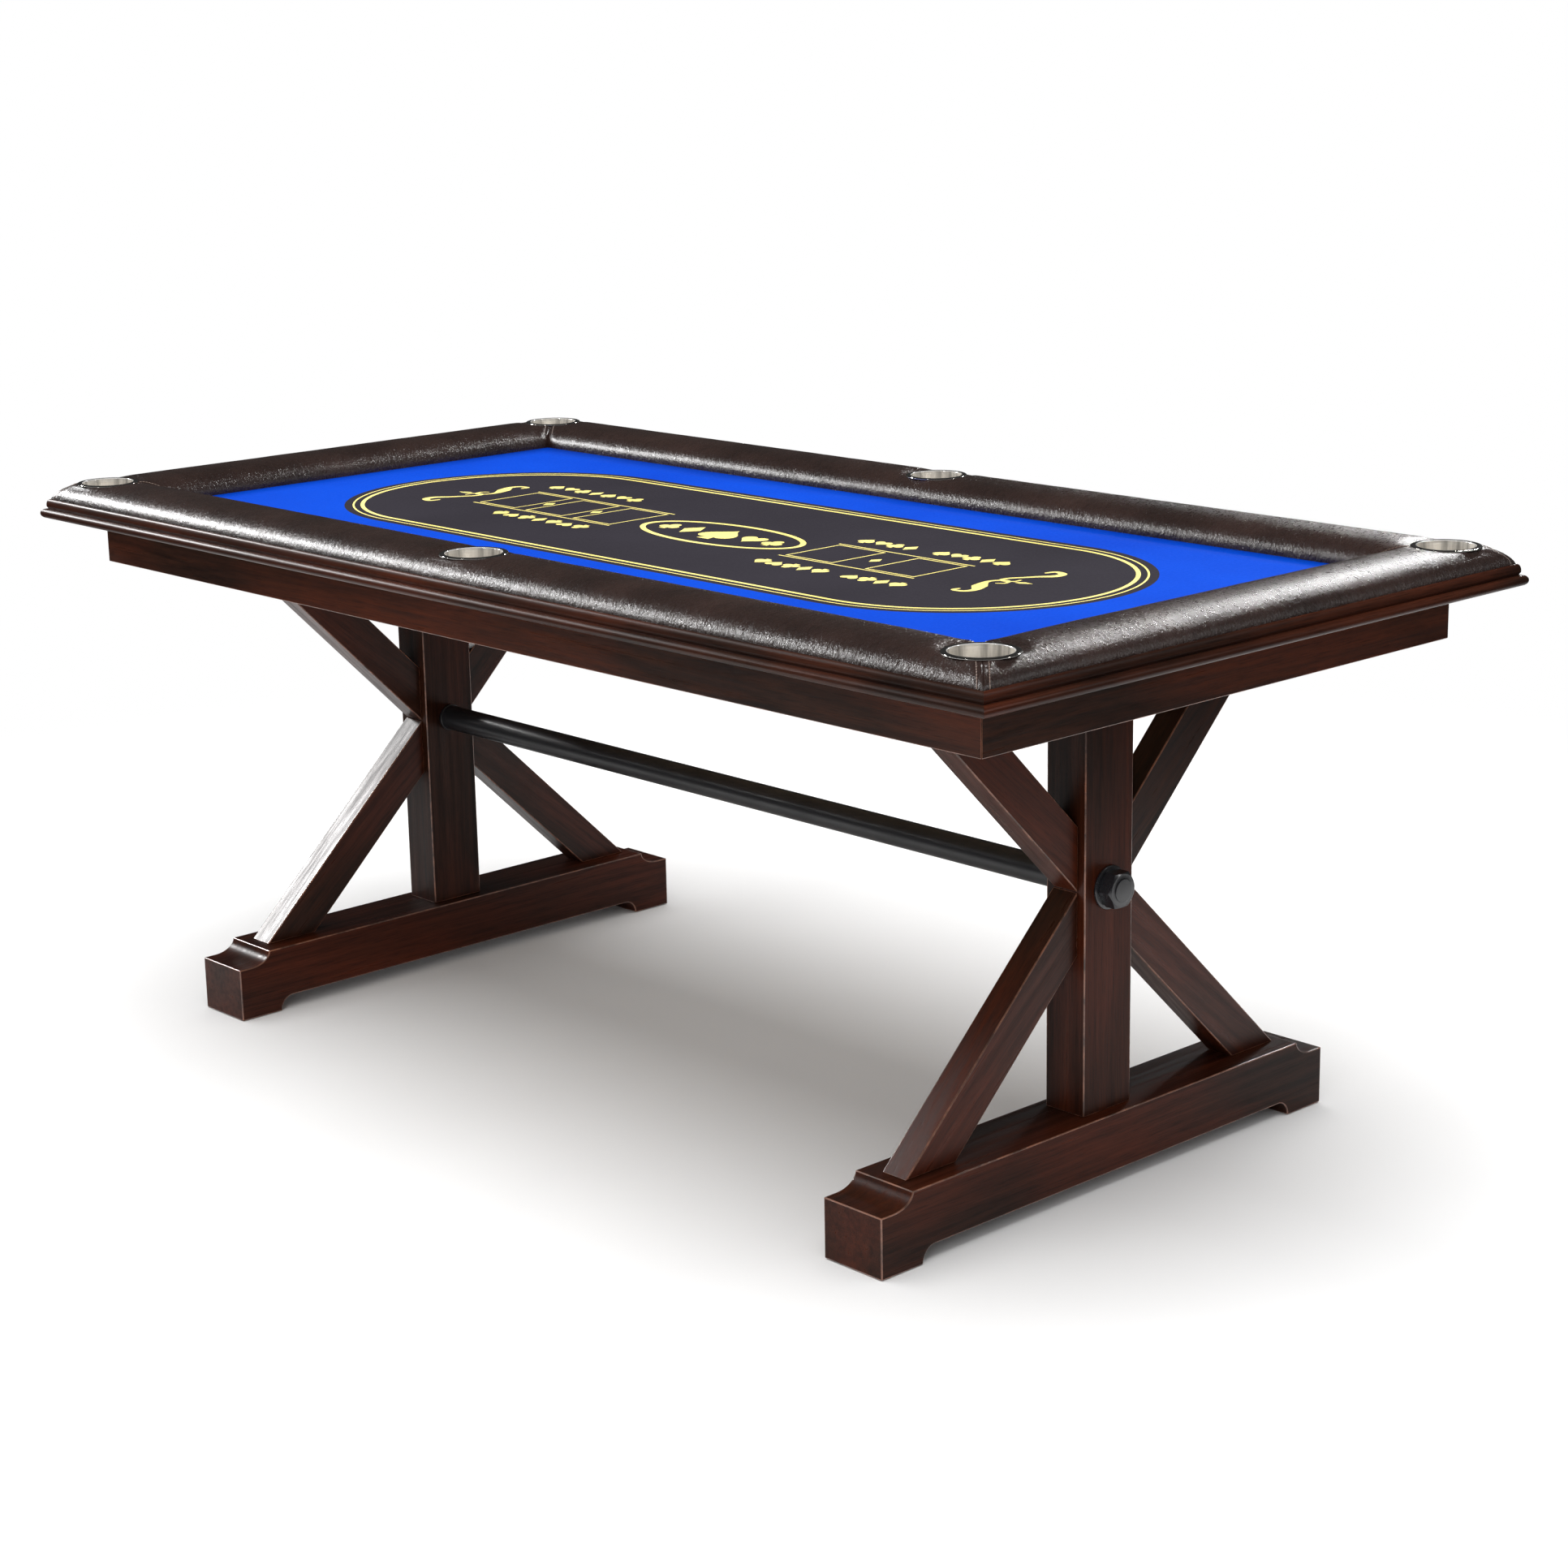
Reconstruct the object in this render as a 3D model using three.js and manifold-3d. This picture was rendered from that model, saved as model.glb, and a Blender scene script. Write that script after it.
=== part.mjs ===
// Poker table: a cloth playfield inside a padded leather rail with drop-in cups, framed by a stepped moulding and a
// plain apron, on two X-braced trestles tied together by a steel stretcher tube.
// Millimetres, +Z up. The origin is on the floor under the middle of the table. +X runs along the table's length and
// -Y is its front.
import * as THREE from "three";
import { mergeVertices } from "three/addons/utils/BufferGeometryUtils.js";
import Module from "manifold-3d";

const wasm = await Module();
wasm.setup();

// ---- Driving dimensions ----
const GAP = 0.3; // between pieces that touch
const ROUND = 24; // sides of a round piece

const LENGTH = 1860; // over the moulding
const WIDTH = 960;
const HEIGHT = 762; // floor to the crown of the leather rail

const RAIL_WIDTH = 120; // leather, inner edge to outer edge
const CROWN_HEIGHT = 30; // leather above the moulding's top edge
const CROWN_STEPS = 18;
const CROWN_SIDE_POWER = 2.6; // superellipse of the crown, across and up
const CROWN_TOP_POWER = 2.2;
const LEATHER_WRAP = 4; // leather and foam on the rail core's inner face
const CORE_DROP = 3; // core's top, and the crown's base, below the moulding's top edge

const MOULDING_HEIGHT = 27;
const MOULDING_LIP = 11.2; // moulding outside the leather
const MOULDING_BASE = 19; // moulding's full thickness, below the leather
const MOULDING_REBATE = 8; // depth of the step that the leather's edge drops into
const BEAD_HEIGHT = 13.6; // lower bead
const BEAD_DEPTH = 7;
const BEAD_STEP = 1; // fillet between the beads
const BEAD_ARC = 75; // degrees each way from the bead's outermost line
const NOSE_ARC = 80; // degrees round the upper bead

const APRON_HEIGHT = 64;
const APRON_THICKNESS = 20;
const APRON_INSET = 67; // behind the moulding
const CORNER_BLOCK_LEG = 55;
const CORNER_BLOCK_SETBACK = 5; // block's ends inside the apron's edges

const CLOTH_DROP = 36; // cloth below the crown
const CLOTH_THICKNESS = 1.1;
const UNDERLAY_THICKNESS = 2;

const CUP_MOUTH_DIAMETER = 71;
const CUP_FLANGE_WIDTH = 7.5; // mouth to the flange's edge
const CUP_TAPER = 2.5; // floor's edge inside the mouth
const CUP_DEPTH = 48;
const CUP_WALL = 1;
const CUP_FLANGE_THICKNESS = 1.8;
const CUP_SINK = 6; // flange below the crown
const CUP_CLEARANCE = 1.2; // round the cup's body, and under it

const CROSS_RAIL_THICKNESS = 30;
const BEARER_THICKNESS = 34;
const BEARER_END_GAP = 48; // bearer's end to the apron's inner face
const TRESTLE_WIDTH = 94; // foot beam, bearer and cross rail, along the table
const TRESTLE_INSET = 280; // trestle's middle to the moulding's end

const FOOT_END_INSET = 77; // foot's end behind the moulding
const FOOT_HEIGHT = 95;
const FOOT_BLOCK_HEIGHT = 76.5; // lower end block, outside the top cove
const FOOT_BLOCK_LENGTH = 51;
const COVE_LENGTH = 32;
const TOE_LENGTH = 67;
const TOE_COVE = 20;
const GLIDE_DIAMETER = 28;
const GLIDE_THICKNESS = 4;
const GLIDE_STANDOUT = 1; // glide below the toe

const POST_THICKNESS = 61; // along the table
const POST_WIDTH = 85; // across it
const BRACE_THICKNESS = 39;
const BRACE_WIDTH = 57;
const BRACE_FOOT_INSET = 67; // lower brace's toe to the foot's end
const BRACE_HEAD_INSET = 38; // upper brace's head to the bearer's end

const STRETCHER_HEIGHT = 377; // tube's axis, and where the braces meet
const TUBE_DIAMETER = 36;
const TUBE_WALL = 2;
const TUBE_RING_STEP = 1.5; // swaged ring at each end of the tube
const TUBE_RING_WIDTH = 4.5;
const TIE_ROD_DIAMETER = 16;
const TIE_ROD_CLEARANCE = 0.7;
const TIE_ROD_IN_NUT = 11;
const WASHER_DIAMETER = 54;
const WASHER_THICKNESS = 3;
const NUT_ACROSS_FLATS = 42;
const NUT_THICKNESS = 19;
const NUT_CHAMFER = 3;
const NUT_CAP_DIAMETER = 29;
const NUT_CAP_HEIGHT = 1.6;

const BOLT_DIAMETER = 12;
const BOLT_HEAD_ACROSS_FLATS = 19;
const BOLT_HEAD_HEIGHT = 7.5;
const BOLT_TIP_GAP = 5; // bolt's tip below the playfield board
const BOLT_INSET = 195; // from the bearer's end

// ---- Levels and reaches that follow from them ----
const mouldingTop = HEIGHT - CROWN_HEIGHT;
const mouldingBottom = mouldingTop - MOULDING_HEIGHT;
const apronBottom = mouldingBottom - APRON_HEIGHT;
const coreBottom = mouldingBottom + GAP;
const coreTop = mouldingTop - CORE_DROP;
const clothTop = HEIGHT - CLOTH_DROP;
const underlayTop = clothTop - CLOTH_THICKNESS - GAP;
const boardTop = underlayTop - UNDERLAY_THICKNESS - GAP;
const cupTop = HEIGHT - CUP_SINK;
const bearerTop = mouldingBottom - CROSS_RAIL_THICKNESS;
const bearerBottom = bearerTop - BEARER_THICKNESS;

const leatherInset = MOULDING_LIP + GAP; // leather's outer face behind the moulding's
const railInnerInset = leatherInset + RAIL_WIDTH;
const cupInset = leatherInset + RAIL_WIDTH / 2;
const coreOuterInset = MOULDING_BASE + GAP;
const coreInnerInset = railInnerInset - LEATHER_WRAP - GAP;
const apronInnerInset = APRON_INSET + APRON_THICKNESS;

const trestleX = LENGTH / 2 - TRESTLE_INSET;
const footHalf = WIDTH / 2 - FOOT_END_INSET;
const bearerHalf = WIDTH / 2 - apronInnerInset - BEARER_END_GAP;
const postHalf = POST_WIDTH / 2;
const tieRodHole = TIE_ROD_DIAMETER / 2 + TIE_ROD_CLEARANCE;
const boltHole = BOLT_DIAMETER / 2 + GAP;
const boltY = bearerHalf - BOLT_INSET;
const cupMouth = CUP_MOUTH_DIAMETER / 2;
const cupFlange = cupMouth + CUP_FLANGE_WIDTH;
const cupHole = cupMouth + CUP_WALL + CUP_CLEARANCE;
const cupHoleBottom = cupTop - CUP_DEPTH - CUP_CLEARANCE;

// Each side's run has its outward direction along local +X and is turned into place about Z. At a distance `out` from
// the table's middle, the run's mitred ends lie at `out + shift` along it.
const SIDES = [
  { name: "right", turn: 0, reach: LENGTH / 2, shift: (WIDTH - LENGTH) / 2 },
  { name: "back", turn: Math.PI / 2, reach: WIDTH / 2, shift: (LENGTH - WIDTH) / 2 },
  { name: "left", turn: Math.PI, reach: LENGTH / 2, shift: (WIDTH - LENGTH) / 2 },
  { name: "front", turn: -Math.PI / 2, reach: WIDTH / 2, shift: (LENGTH - WIDTH) / 2 },
];
const CORNERS = [
  { name: "right_back", x: 1, y: 1, turn: 0 },
  { name: "left_back", x: -1, y: 1, turn: Math.PI / 2 },
  { name: "left_front", x: -1, y: -1, turn: Math.PI },
  { name: "right_front", x: 1, y: -1, turn: -Math.PI / 2 },
];
const cupX = LENGTH / 2 - cupInset;
const cupY = WIDTH / 2 - cupInset;
const CUPS = [
  { name: "front", x: 0, y: -cupY },
  { name: "back", x: 0, y: cupY },
  ...CORNERS.map((corner) => ({ name: corner.name, x: corner.x * cupX, y: corner.y * cupY })),
];

// ---- Materials ----
const FINISHES = {
  wood: { color: 0x3b2018, roughness: 0.42, metalness: 0 },
  board: { color: 0xa8865a, roughness: 0.85, metalness: 0 },
  leather: { color: 0x2b1c17, roughness: 0.48, metalness: 0 },
  cloth: { color: 0x1e50dc, roughness: 0.9, metalness: 0 },
  foam: { color: 0xe6e0d0, roughness: 0.95, metalness: 0 },
  steel: { color: 0xcfcac0, roughness: 0.25, metalness: 1 },
  blackSteel: { color: 0x1b1a1c, roughness: 0.4, metalness: 0.7 },
  nylon: { color: 0x1a1a1a, roughness: 0.6, metalness: 0 },
};

function piece(name, geometry, finish) {
  const mesh = new THREE.Mesh(geometry, new THREE.MeshStandardMaterial(FINISHES[finish]));
  mesh.name = name;
  return mesh;
}

// ---- Shapes ----
// A closed geometry as a solid that can be cut or joined.
function solidOf(geometry) {
  const bare = geometry.clone();
  bare.deleteAttribute("normal");
  bare.deleteAttribute("uv");
  const merged = mergeVertices(bare, 1e-4);
  const vertProperties = merged.attributes.position.array;
  const triVerts = new Uint32Array(merged.index.array);
  return new wasm.Manifold(new wasm.Mesh({ numProp: 3, vertProperties, triVerts }));
}

function geometryOf(solid) {
  const { vertProperties, triVerts } = solid.getMesh();
  const geometry = new THREE.BufferGeometry();
  geometry.setAttribute("position", new THREE.BufferAttribute(vertProperties, 3));
  geometry.setIndex(new THREE.BufferAttribute(triVerts, 1));
  geometry.computeVertexNormals();
  return geometry;
}

const shapeOf = (points) => new THREE.Shape(points.map(([x, y]) => new THREE.Vector2(x, y)));

// A box with its base at z = 0, centred in x and y.
function block(x, y, z) {
  return new THREE.BoxGeometry(x, y, z).translate(0, 0, z / 2);
}

// A round bar along +Z from z = 0.
function bar(radius, length, sides = ROUND) {
  const geometry = new THREE.CylinderGeometry(radius, radius, length, sides);
  return geometry.rotateX(Math.PI / 2).translate(0, 0, length / 2);
}

// A turned piece about Z. The profile's [radius, z] points run up the outside and back down the inside.
function turned(profile) {
  const points = [...profile, profile[0]].map(([radius, z]) => new THREE.Vector2(radius, z));
  return new THREE.LatheGeometry(points, ROUND).rotateX(Math.PI / 2);
}

// A flat outline in the Y-Z plane, given its thickness along X.
function acrossX(shape, thickness, curveSegments = 8) {
  const geometry = new THREE.ExtrudeGeometry(shape, { depth: thickness, bevelEnabled: false, curveSegments });
  const [toX, toY, toZ] = [new THREE.Vector3(1, 0, 0), new THREE.Vector3(0, 1, 0), new THREE.Vector3(0, 0, 1)];
  return geometry.applyMatrix4(new THREE.Matrix4().makeBasis(toY, toZ, toX)).translate(-thickness / 2, 0, 0);
}

// A run of constant section with 45 degree mitres at both ends. The section's points are [inset, z], inset from the
// moulding's outer face.
function mitredRun(side, section) {
  const outline = section.map(([inset, z]) => [side.reach - inset, z]);
  const geometry = new THREE.ExtrudeGeometry(shapeOf(outline), { depth: 1, bevelEnabled: false });
  const position = geometry.attributes.position;
  for (let i = 0; i < position.count; i++) {
    const out = position.getX(i);
    const end = position.getZ(i) > 0.5 ? -1 : 1;
    position.setXYZ(i, out, end * (out + side.shift - GAP * Math.SQRT1_2), position.getY(i));
  }
  return geometry;
}

// Cuts a round hole of the given radius above z = `from` at every cup. The solid is still in its own axes, which will
// be turned about Z and moved to `origin`.
function cutForCups(solid, turn, radius, from, origin = new THREE.Vector3()) {
  return CUPS.reduce((rest, cup) => {
    const place = new THREE.Vector3(cup.x, cup.y, from).sub(origin);
    place.applyAxisAngle(new THREE.Vector3(0, 0, 1), -turn);
    return rest.subtract(solidOf(bar(radius, HEIGHT).translate(place.x, place.y, place.z)));
  }, solid);
}

// An arc of an ellipse as [x, y] points.
function arc(x, y, radiusX, radiusY, fromDegrees, toDegrees, steps) {
  return Array.from({ length: steps + 1 }, (_, i) => {
    const angle = THREE.MathUtils.degToRad(fromDegrees + ((toDegrees - fromDegrees) * i) / steps);
    return [x + radiusX * Math.cos(angle), y + radiusY * Math.sin(angle)];
  });
}

// ---- Playfield ----
function playfield() {
  const group = new THREE.Group();
  const length = LENGTH - 2 * railInnerInset - 2 * GAP;
  const width = WIDTH - 2 * railInnerInset - 2 * GAP;
  const layers = [
    ["playfield_board", coreBottom, boardTop, "board"],
    ["foam_underlay", boardTop + GAP, underlayTop, "foam"],
    ["playing_cloth", underlayTop + GAP, clothTop, "cloth"],
  ];
  for (const [name, bottom, top, finish] of layers) {
    const layer = piece(name, block(length, width, top - bottom), finish);
    layer.position.z = bottom;
    group.add(layer);
  }
  return group;
}

// ---- Rail: wooden cores, padded leather over them, and the moulding outside ----
function coreSection() {
  const [outer, inner] = [coreOuterInset, coreInnerInset];
  return [[outer, coreBottom], [outer, coreTop], [inner, coreTop], [inner, coreBottom]];
}

// An upholstered channel over the core: a full crown on top, with an edge that turns down on each side.
function padSection() {
  const crown = Array.from({ length: CROWN_STEPS + 1 }, (_, i) => {
    const across = -Math.cos((Math.PI * i) / CROWN_STEPS); // -1 at the outer edge, 1 at the inner edge
    const rise = (1 - Math.abs(across) ** CROWN_SIDE_POWER) ** (1 / CROWN_TOP_POWER);
    return [leatherInset + (RAIL_WIDTH / 2) * (1 + across), coreTop + (HEIGHT - coreTop) * rise];
  });
  const innerEdge = coreBottom + LEATHER_WRAP;
  const outerEdge = mouldingTop - MOULDING_REBATE + GAP;
  const channelTop = coreTop + GAP;
  return [
    [leatherInset, outerEdge],
    ...crown,
    [railInnerInset, innerEdge],
    [coreInnerInset + GAP, innerEdge],
    [coreInnerInset + GAP, channelTop],
    [coreOuterInset - GAP, channelTop],
    [coreOuterInset - GAP, outerEdge],
  ];
}

// Two stepped beads on the outer face, and a rebate at the top for the leather's edge.
function mouldingSection() {
  const beadTop = mouldingBottom + BEAD_HEIGHT;
  const stepZ = beadTop + BEAD_STEP;
  const upperHeight = mouldingTop - stepZ;
  const rebateZ = mouldingTop - MOULDING_REBATE;
  return [
    [MOULDING_BASE, mouldingBottom],
    ...arc(BEAD_DEPTH, mouldingBottom + BEAD_HEIGHT / 2, -BEAD_DEPTH, BEAD_HEIGHT / 2, -BEAD_ARC, BEAD_ARC, 8),
    [BEAD_DEPTH + BEAD_STEP / 2, stepZ],
    ...arc(MOULDING_LIP, stepZ + upperHeight / 3, BEAD_DEPTH - MOULDING_LIP, (upperHeight * 2) / 3, 0, NOSE_ARC, 6),
    [MOULDING_LIP, mouldingTop],
    [MOULDING_LIP, rebateZ],
    [MOULDING_BASE, rebateZ],
  ];
}

function apronSection() {
  const top = mouldingBottom;
  return [[APRON_INSET, apronBottom], [APRON_INSET, top], [apronInnerInset, top], [apronInnerInset, apronBottom]];
}

function rail() {
  const group = new THREE.Group();
  const seatZ = cupTop - CUP_FLANGE_THICKNESS - GAP;
  for (const side of SIDES) {
    const cutRun = (solid, radius, from) => cutForCups(solid, side.turn, radius, from);
    const core = cutRun(solidOf(mitredRun(side, coreSection())), cupHole, 0);
    const channel = cutRun(solidOf(mitredRun(side, padSection())), cupHole, 0);
    const pad = cutRun(channel, cupFlange + GAP, seatZ);
    const apron = cutRun(solidOf(mitredRun(side, apronSection())), cupHole, cupHoleBottom);
    const run = new THREE.Group();
    run.rotation.z = side.turn;
    run.add(
      piece(`rail_core_${side.name}`, geometryOf(core), "board"),
      piece(`rail_pad_${side.name}`, geometryOf(pad), "leather"),
      piece(`moulding_${side.name}`, mitredRun(side, mouldingSection()), "wood"),
      piece(`apron_${side.name}`, geometryOf(apron), "wood"),
    );
    group.add(run);
  }
  return group;
}

function cornerBlocks() {
  const group = new THREE.Group();
  const outline = shapeOf([[0, 0], [-CORNER_BLOCK_LEG, 0], [0, -CORNER_BLOCK_LEG]]);
  const inset = apronInnerInset + GAP;
  const depth = APRON_HEIGHT - 2 * CORNER_BLOCK_SETBACK;
  for (const { name, x, y, turn } of CORNERS) {
    const origin = new THREE.Vector3(
      x * (LENGTH / 2 - inset),
      y * (WIDTH / 2 - inset),
      apronBottom + CORNER_BLOCK_SETBACK,
    );
    const whole = solidOf(new THREE.ExtrudeGeometry(outline, { depth, bevelEnabled: false }));
    const block = cutForCups(whole, turn, cupHole, cupHoleBottom, origin);
    const glued = piece(`corner_block_${name}`, geometryOf(block), "board");
    glued.position.copy(origin);
    glued.rotation.z = turn;
    group.add(glued);
  }
  return group;
}

// ---- Drop-in cups: a tapered body that hangs by its flange ----
function cups() {
  const group = new THREE.Group();
  const floor = cupMouth - CUP_TAPER;
  for (const cup of CUPS) {
    const profile = [
      [0, -CUP_DEPTH],
      [floor, -CUP_DEPTH],
      [cupMouth + CUP_WALL, -CUP_FLANGE_THICKNESS],
      [cupFlange, -CUP_FLANGE_THICKNESS],
      [cupFlange, -CUP_FLANGE_THICKNESS / 2],
      [cupFlange - CUP_FLANGE_THICKNESS / 2, 0],
      [cupMouth, 0],
      [floor - CUP_WALL, CUP_WALL - CUP_DEPTH],
      [0, CUP_WALL - CUP_DEPTH],
    ];
    const body = piece(`cup_${cup.name}`, turned(profile), "steel");
    body.position.set(cup.x, cup.y, cupTop);
    group.add(body);
  }
  return group;
}

// ---- Trestles ----
function drilledAlongY(geometry, radius, offsets) {
  const holes = offsets.map((y) => solidOf(bar(radius, HEIGHT).translate(0, y, -HEIGHT / 2)));
  return geometryOf(holes.reduce((rest, hole) => rest.subtract(hole), solidOf(geometry)));
}

function footOutline() {
  const [half, toe, top] = [footHalf, footHalf - TOE_LENGTH, FOOT_HEIGHT];
  const coveStart = footHalf - FOOT_BLOCK_LENGTH;
  const coveDrop = top - FOOT_BLOCK_HEIGHT;
  const base = GLIDE_STANDOUT;
  const shape = new THREE.Shape();
  shape.moveTo(-half, base);
  shape.lineTo(-toe, base);
  shape.absarc(-toe + TOE_COVE, base, TOE_COVE, Math.PI, Math.PI / 2, true);
  shape.lineTo(toe - TOE_COVE, base + TOE_COVE);
  shape.absarc(toe - TOE_COVE, base, TOE_COVE, Math.PI / 2, 0, true);
  shape.lineTo(half, base);
  shape.lineTo(half, FOOT_BLOCK_HEIGHT);
  shape.absellipse(coveStart + COVE_LENGTH, top, COVE_LENGTH, coveDrop, -Math.PI / 2, -Math.PI, true, 0);
  shape.lineTo(-coveStart, top);
  shape.absellipse(-coveStart - COVE_LENGTH, top, COVE_LENGTH, coveDrop, 0, -Math.PI / 2, true, 0);
  shape.lineTo(-half, FOOT_BLOCK_HEIGHT);
  return shape;
}

function footBeam(name) {
  const glideY = footHalf - TOE_LENGTH / 2;
  const sockets = [-glideY, glideY].map((y) => {
    return solidOf(bar(GLIDE_DIAMETER / 2 + GAP, 2 * (GLIDE_THICKNESS + GAP)).translate(0, y, -GLIDE_THICKNESS - GAP));
  });
  const beam = sockets.reduce((rest, socket) => rest.subtract(socket), solidOf(acrossX(footOutline(), TRESTLE_WIDTH)));
  return piece(name, geometryOf(beam), "wood");
}

// A brace between the post's face and a level surface. Its outer edge runs from the stretcher's height on the post to
// `reach` from the post's axis at z = `level`.
function brace(name, reach, level, frontOrBack) {
  const upwards = Math.sign(level - STRETCHER_HEIGHT);
  const [faceY, jointZ, endZ] = [postHalf + GAP, STRETCHER_HEIGHT + upwards * GAP, level - upwards * GAP];
  const slope = Math.atan2(Math.abs(endZ - jointZ), reach - faceY);
  const outline = [
    [faceY, jointZ],
    [reach, endZ],
    [reach - BRACE_WIDTH / Math.sin(slope), endZ],
    [faceY, jointZ + (upwards * BRACE_WIDTH) / Math.cos(slope)],
  ];
  const made = piece(name, acrossX(shapeOf(outline), BRACE_THICKNESS), "wood");
  if (frontOrBack === "front") made.rotation.z = Math.PI;
  return made;
}

function trestle(side, name) {
  const group = new THREE.Group();
  group.position.x = side * trestleX;
  const postHeight = bearerBottom - FOOT_HEIGHT - 2 * GAP;
  const hole = solidOf(bar(tieRodHole, 2 * POST_THICKNESS).rotateY(Math.PI / 2));
  const holeZ = STRETCHER_HEIGHT - FOOT_HEIGHT - GAP;
  const drilled = solidOf(block(POST_THICKNESS, POST_WIDTH, postHeight)).subtract(
    hole.translate([-POST_THICKNESS, 0, holeZ]),
  );
  const post = piece(`${name}_post`, geometryOf(drilled), "wood");
  post.position.z = FOOT_HEIGHT + GAP;

  const bearerBlock = block(TRESTLE_WIDTH, 2 * bearerHalf, BEARER_THICKNESS - GAP);
  const bearer = piece(`${name}_top_bearer`, drilledAlongY(bearerBlock, boltHole, [-boltY, boltY]), "wood");
  bearer.position.z = bearerBottom;

  group.add(footBeam(`${name}_foot_beam`), post, bearer);
  for (const way of ["front", "back"]) {
    const sign = way === "front" ? -1 : 1;
    const glide = piece(`${name}_glide_${way}`, bar(GLIDE_DIAMETER / 2, GLIDE_THICKNESS), "nylon");
    glide.position.y = sign * (footHalf - TOE_LENGTH / 2);
    const bolt = piece(`${name}_bearer_bolt_${way}`, bearerBolt(), "blackSteel");
    bolt.position.set(0, sign * boltY, bearerBottom - GAP);
    group.add(
      brace(`${name}_lower_brace_${way}`, footHalf - BRACE_FOOT_INSET, FOOT_HEIGHT, way),
      brace(`${name}_upper_brace_${way}`, bearerHalf - BRACE_HEAD_INSET, bearerBottom, way),
      glide,
      bolt,
    );
  }
  return group;
}

// Hexagon head below z = 0, shank above it.
function bearerBolt() {
  const head = bar(BOLT_HEAD_ACROSS_FLATS / Math.sqrt(3), BOLT_HEAD_HEIGHT, 6).translate(0, 0, -BOLT_HEAD_HEIGHT);
  const shankLength = mouldingBottom - BOLT_TIP_GAP - bearerBottom + GAP;
  const shank = bar(BOLT_DIAMETER / 2, shankLength + 1).translate(0, 0, -1);
  return geometryOf(solidOf(head).add(solidOf(shank)));
}

// The rail that each trestle's bearer bolts up to, between the front and back aprons.
function crossRail(side, name) {
  const length = WIDTH - 2 * apronInnerInset - 2 * GAP;
  const timber = block(TRESTLE_WIDTH, length, CROSS_RAIL_THICKNESS);
  const made = piece(`cross_rail_${name}`, drilledAlongY(timber, boltHole, [-boltY, boltY]), "board");
  made.position.set(side * trestleX, 0, bearerTop);
  return made;
}

// ---- Stretcher: a tube between the posts, pulled tight by a rod with a cap nut and washer outside each post ----
function stretcherTube() {
  const half = trestleX - POST_THICKNESS / 2 - GAP;
  const [outer, inner] = [TUBE_DIAMETER / 2, TUBE_DIAMETER / 2 - TUBE_WALL];
  const ring = outer + TUBE_RING_STEP;
  const shoulder = half - TUBE_RING_WIDTH;
  const profile = [
    [inner, -half],
    [ring, -half],
    [ring, -shoulder],
    [outer, -shoulder],
    [outer, shoulder],
    [ring, shoulder],
    [ring, half],
    [inner, half],
  ];
  return turned(profile);
}

function capNut() {
  const [radius, flat] = [NUT_ACROSS_FLATS / Math.sqrt(3), NUT_ACROSS_FLATS / 2];
  const chamfer = turned([
    [0, 0],
    [radius + 1, 0],
    [radius + 1, NUT_THICKNESS - NUT_CHAMFER],
    [flat - 1, NUT_THICKNESS],
    [0, NUT_THICKNESS],
  ]);
  const hexagon = bar(radius, NUT_THICKNESS, 6).rotateZ(Math.PI / 2);
  const cap = bar(NUT_CAP_DIAMETER / 2, NUT_THICKNESS + NUT_CAP_HEIGHT);
  const bore = bar(TIE_ROD_DIAMETER / 2 + GAP, 2 * (TIE_ROD_IN_NUT + GAP)).translate(0, 0, -TIE_ROD_IN_NUT - GAP);
  const body = solidOf(hexagon).intersect(solidOf(chamfer)).add(solidOf(cap));
  return geometryOf(body.subtract(solidOf(bore)));
}

function washer() {
  const [outer, inner] = [WASHER_DIAMETER / 2, tieRodHole];
  return turned([
    [inner, 0],
    [outer, 0],
    [outer, WASHER_THICKNESS],
    [inner, WASHER_THICKNESS],
  ]);
}

function stretcher() {
  const group = new THREE.Group();
  group.position.z = STRETCHER_HEIGHT;
  const alongX = new THREE.Group();
  alongX.rotation.y = Math.PI / 2;
  group.add(alongX);
  const washerX = trestleX + POST_THICKNESS / 2 + GAP;
  const nutX = washerX + WASHER_THICKNESS + GAP;
  const rodHalf = nutX + TIE_ROD_IN_NUT;
  const rod = piece("tie_rod", bar(TIE_ROD_DIAMETER / 2, 2 * rodHalf), "blackSteel");
  rod.position.z = -rodHalf;
  alongX.add(piece("stretcher_tube", stretcherTube(), "blackSteel"), rod);
  for (const [name, turn] of [["right", 0], ["left", Math.PI]]) {
    const outside = new THREE.Group();
    outside.rotation.y = turn;
    const flatWasher = piece(`${name}_washer`, washer(), "blackSteel");
    flatWasher.position.z = washerX;
    const nut = piece(`${name}_cap_nut`, capNut(), "blackSteel");
    nut.position.z = nutX;
    outside.add(flatWasher, nut);
    alongX.add(outside);
  }
  return group;
}

// ---- The table ----
const table = new THREE.Group();
table.add(playfield(), rail(), cornerBlocks(), cups(), stretcher());
for (const [side, name] of [[-1, "left"], [1, "right"]]) {
  table.add(trestle(side, name), crossRail(side, name));
}

export default table;
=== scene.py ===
# The looks of the poker table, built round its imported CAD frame. Metres, in the CAD's own axes.
import math

import bmesh
import bpy
import numpy as np
from mathutils import Euler, Matrix, Vector, geometry, noise
from mathutils.bvhtree import BVHTree


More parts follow.
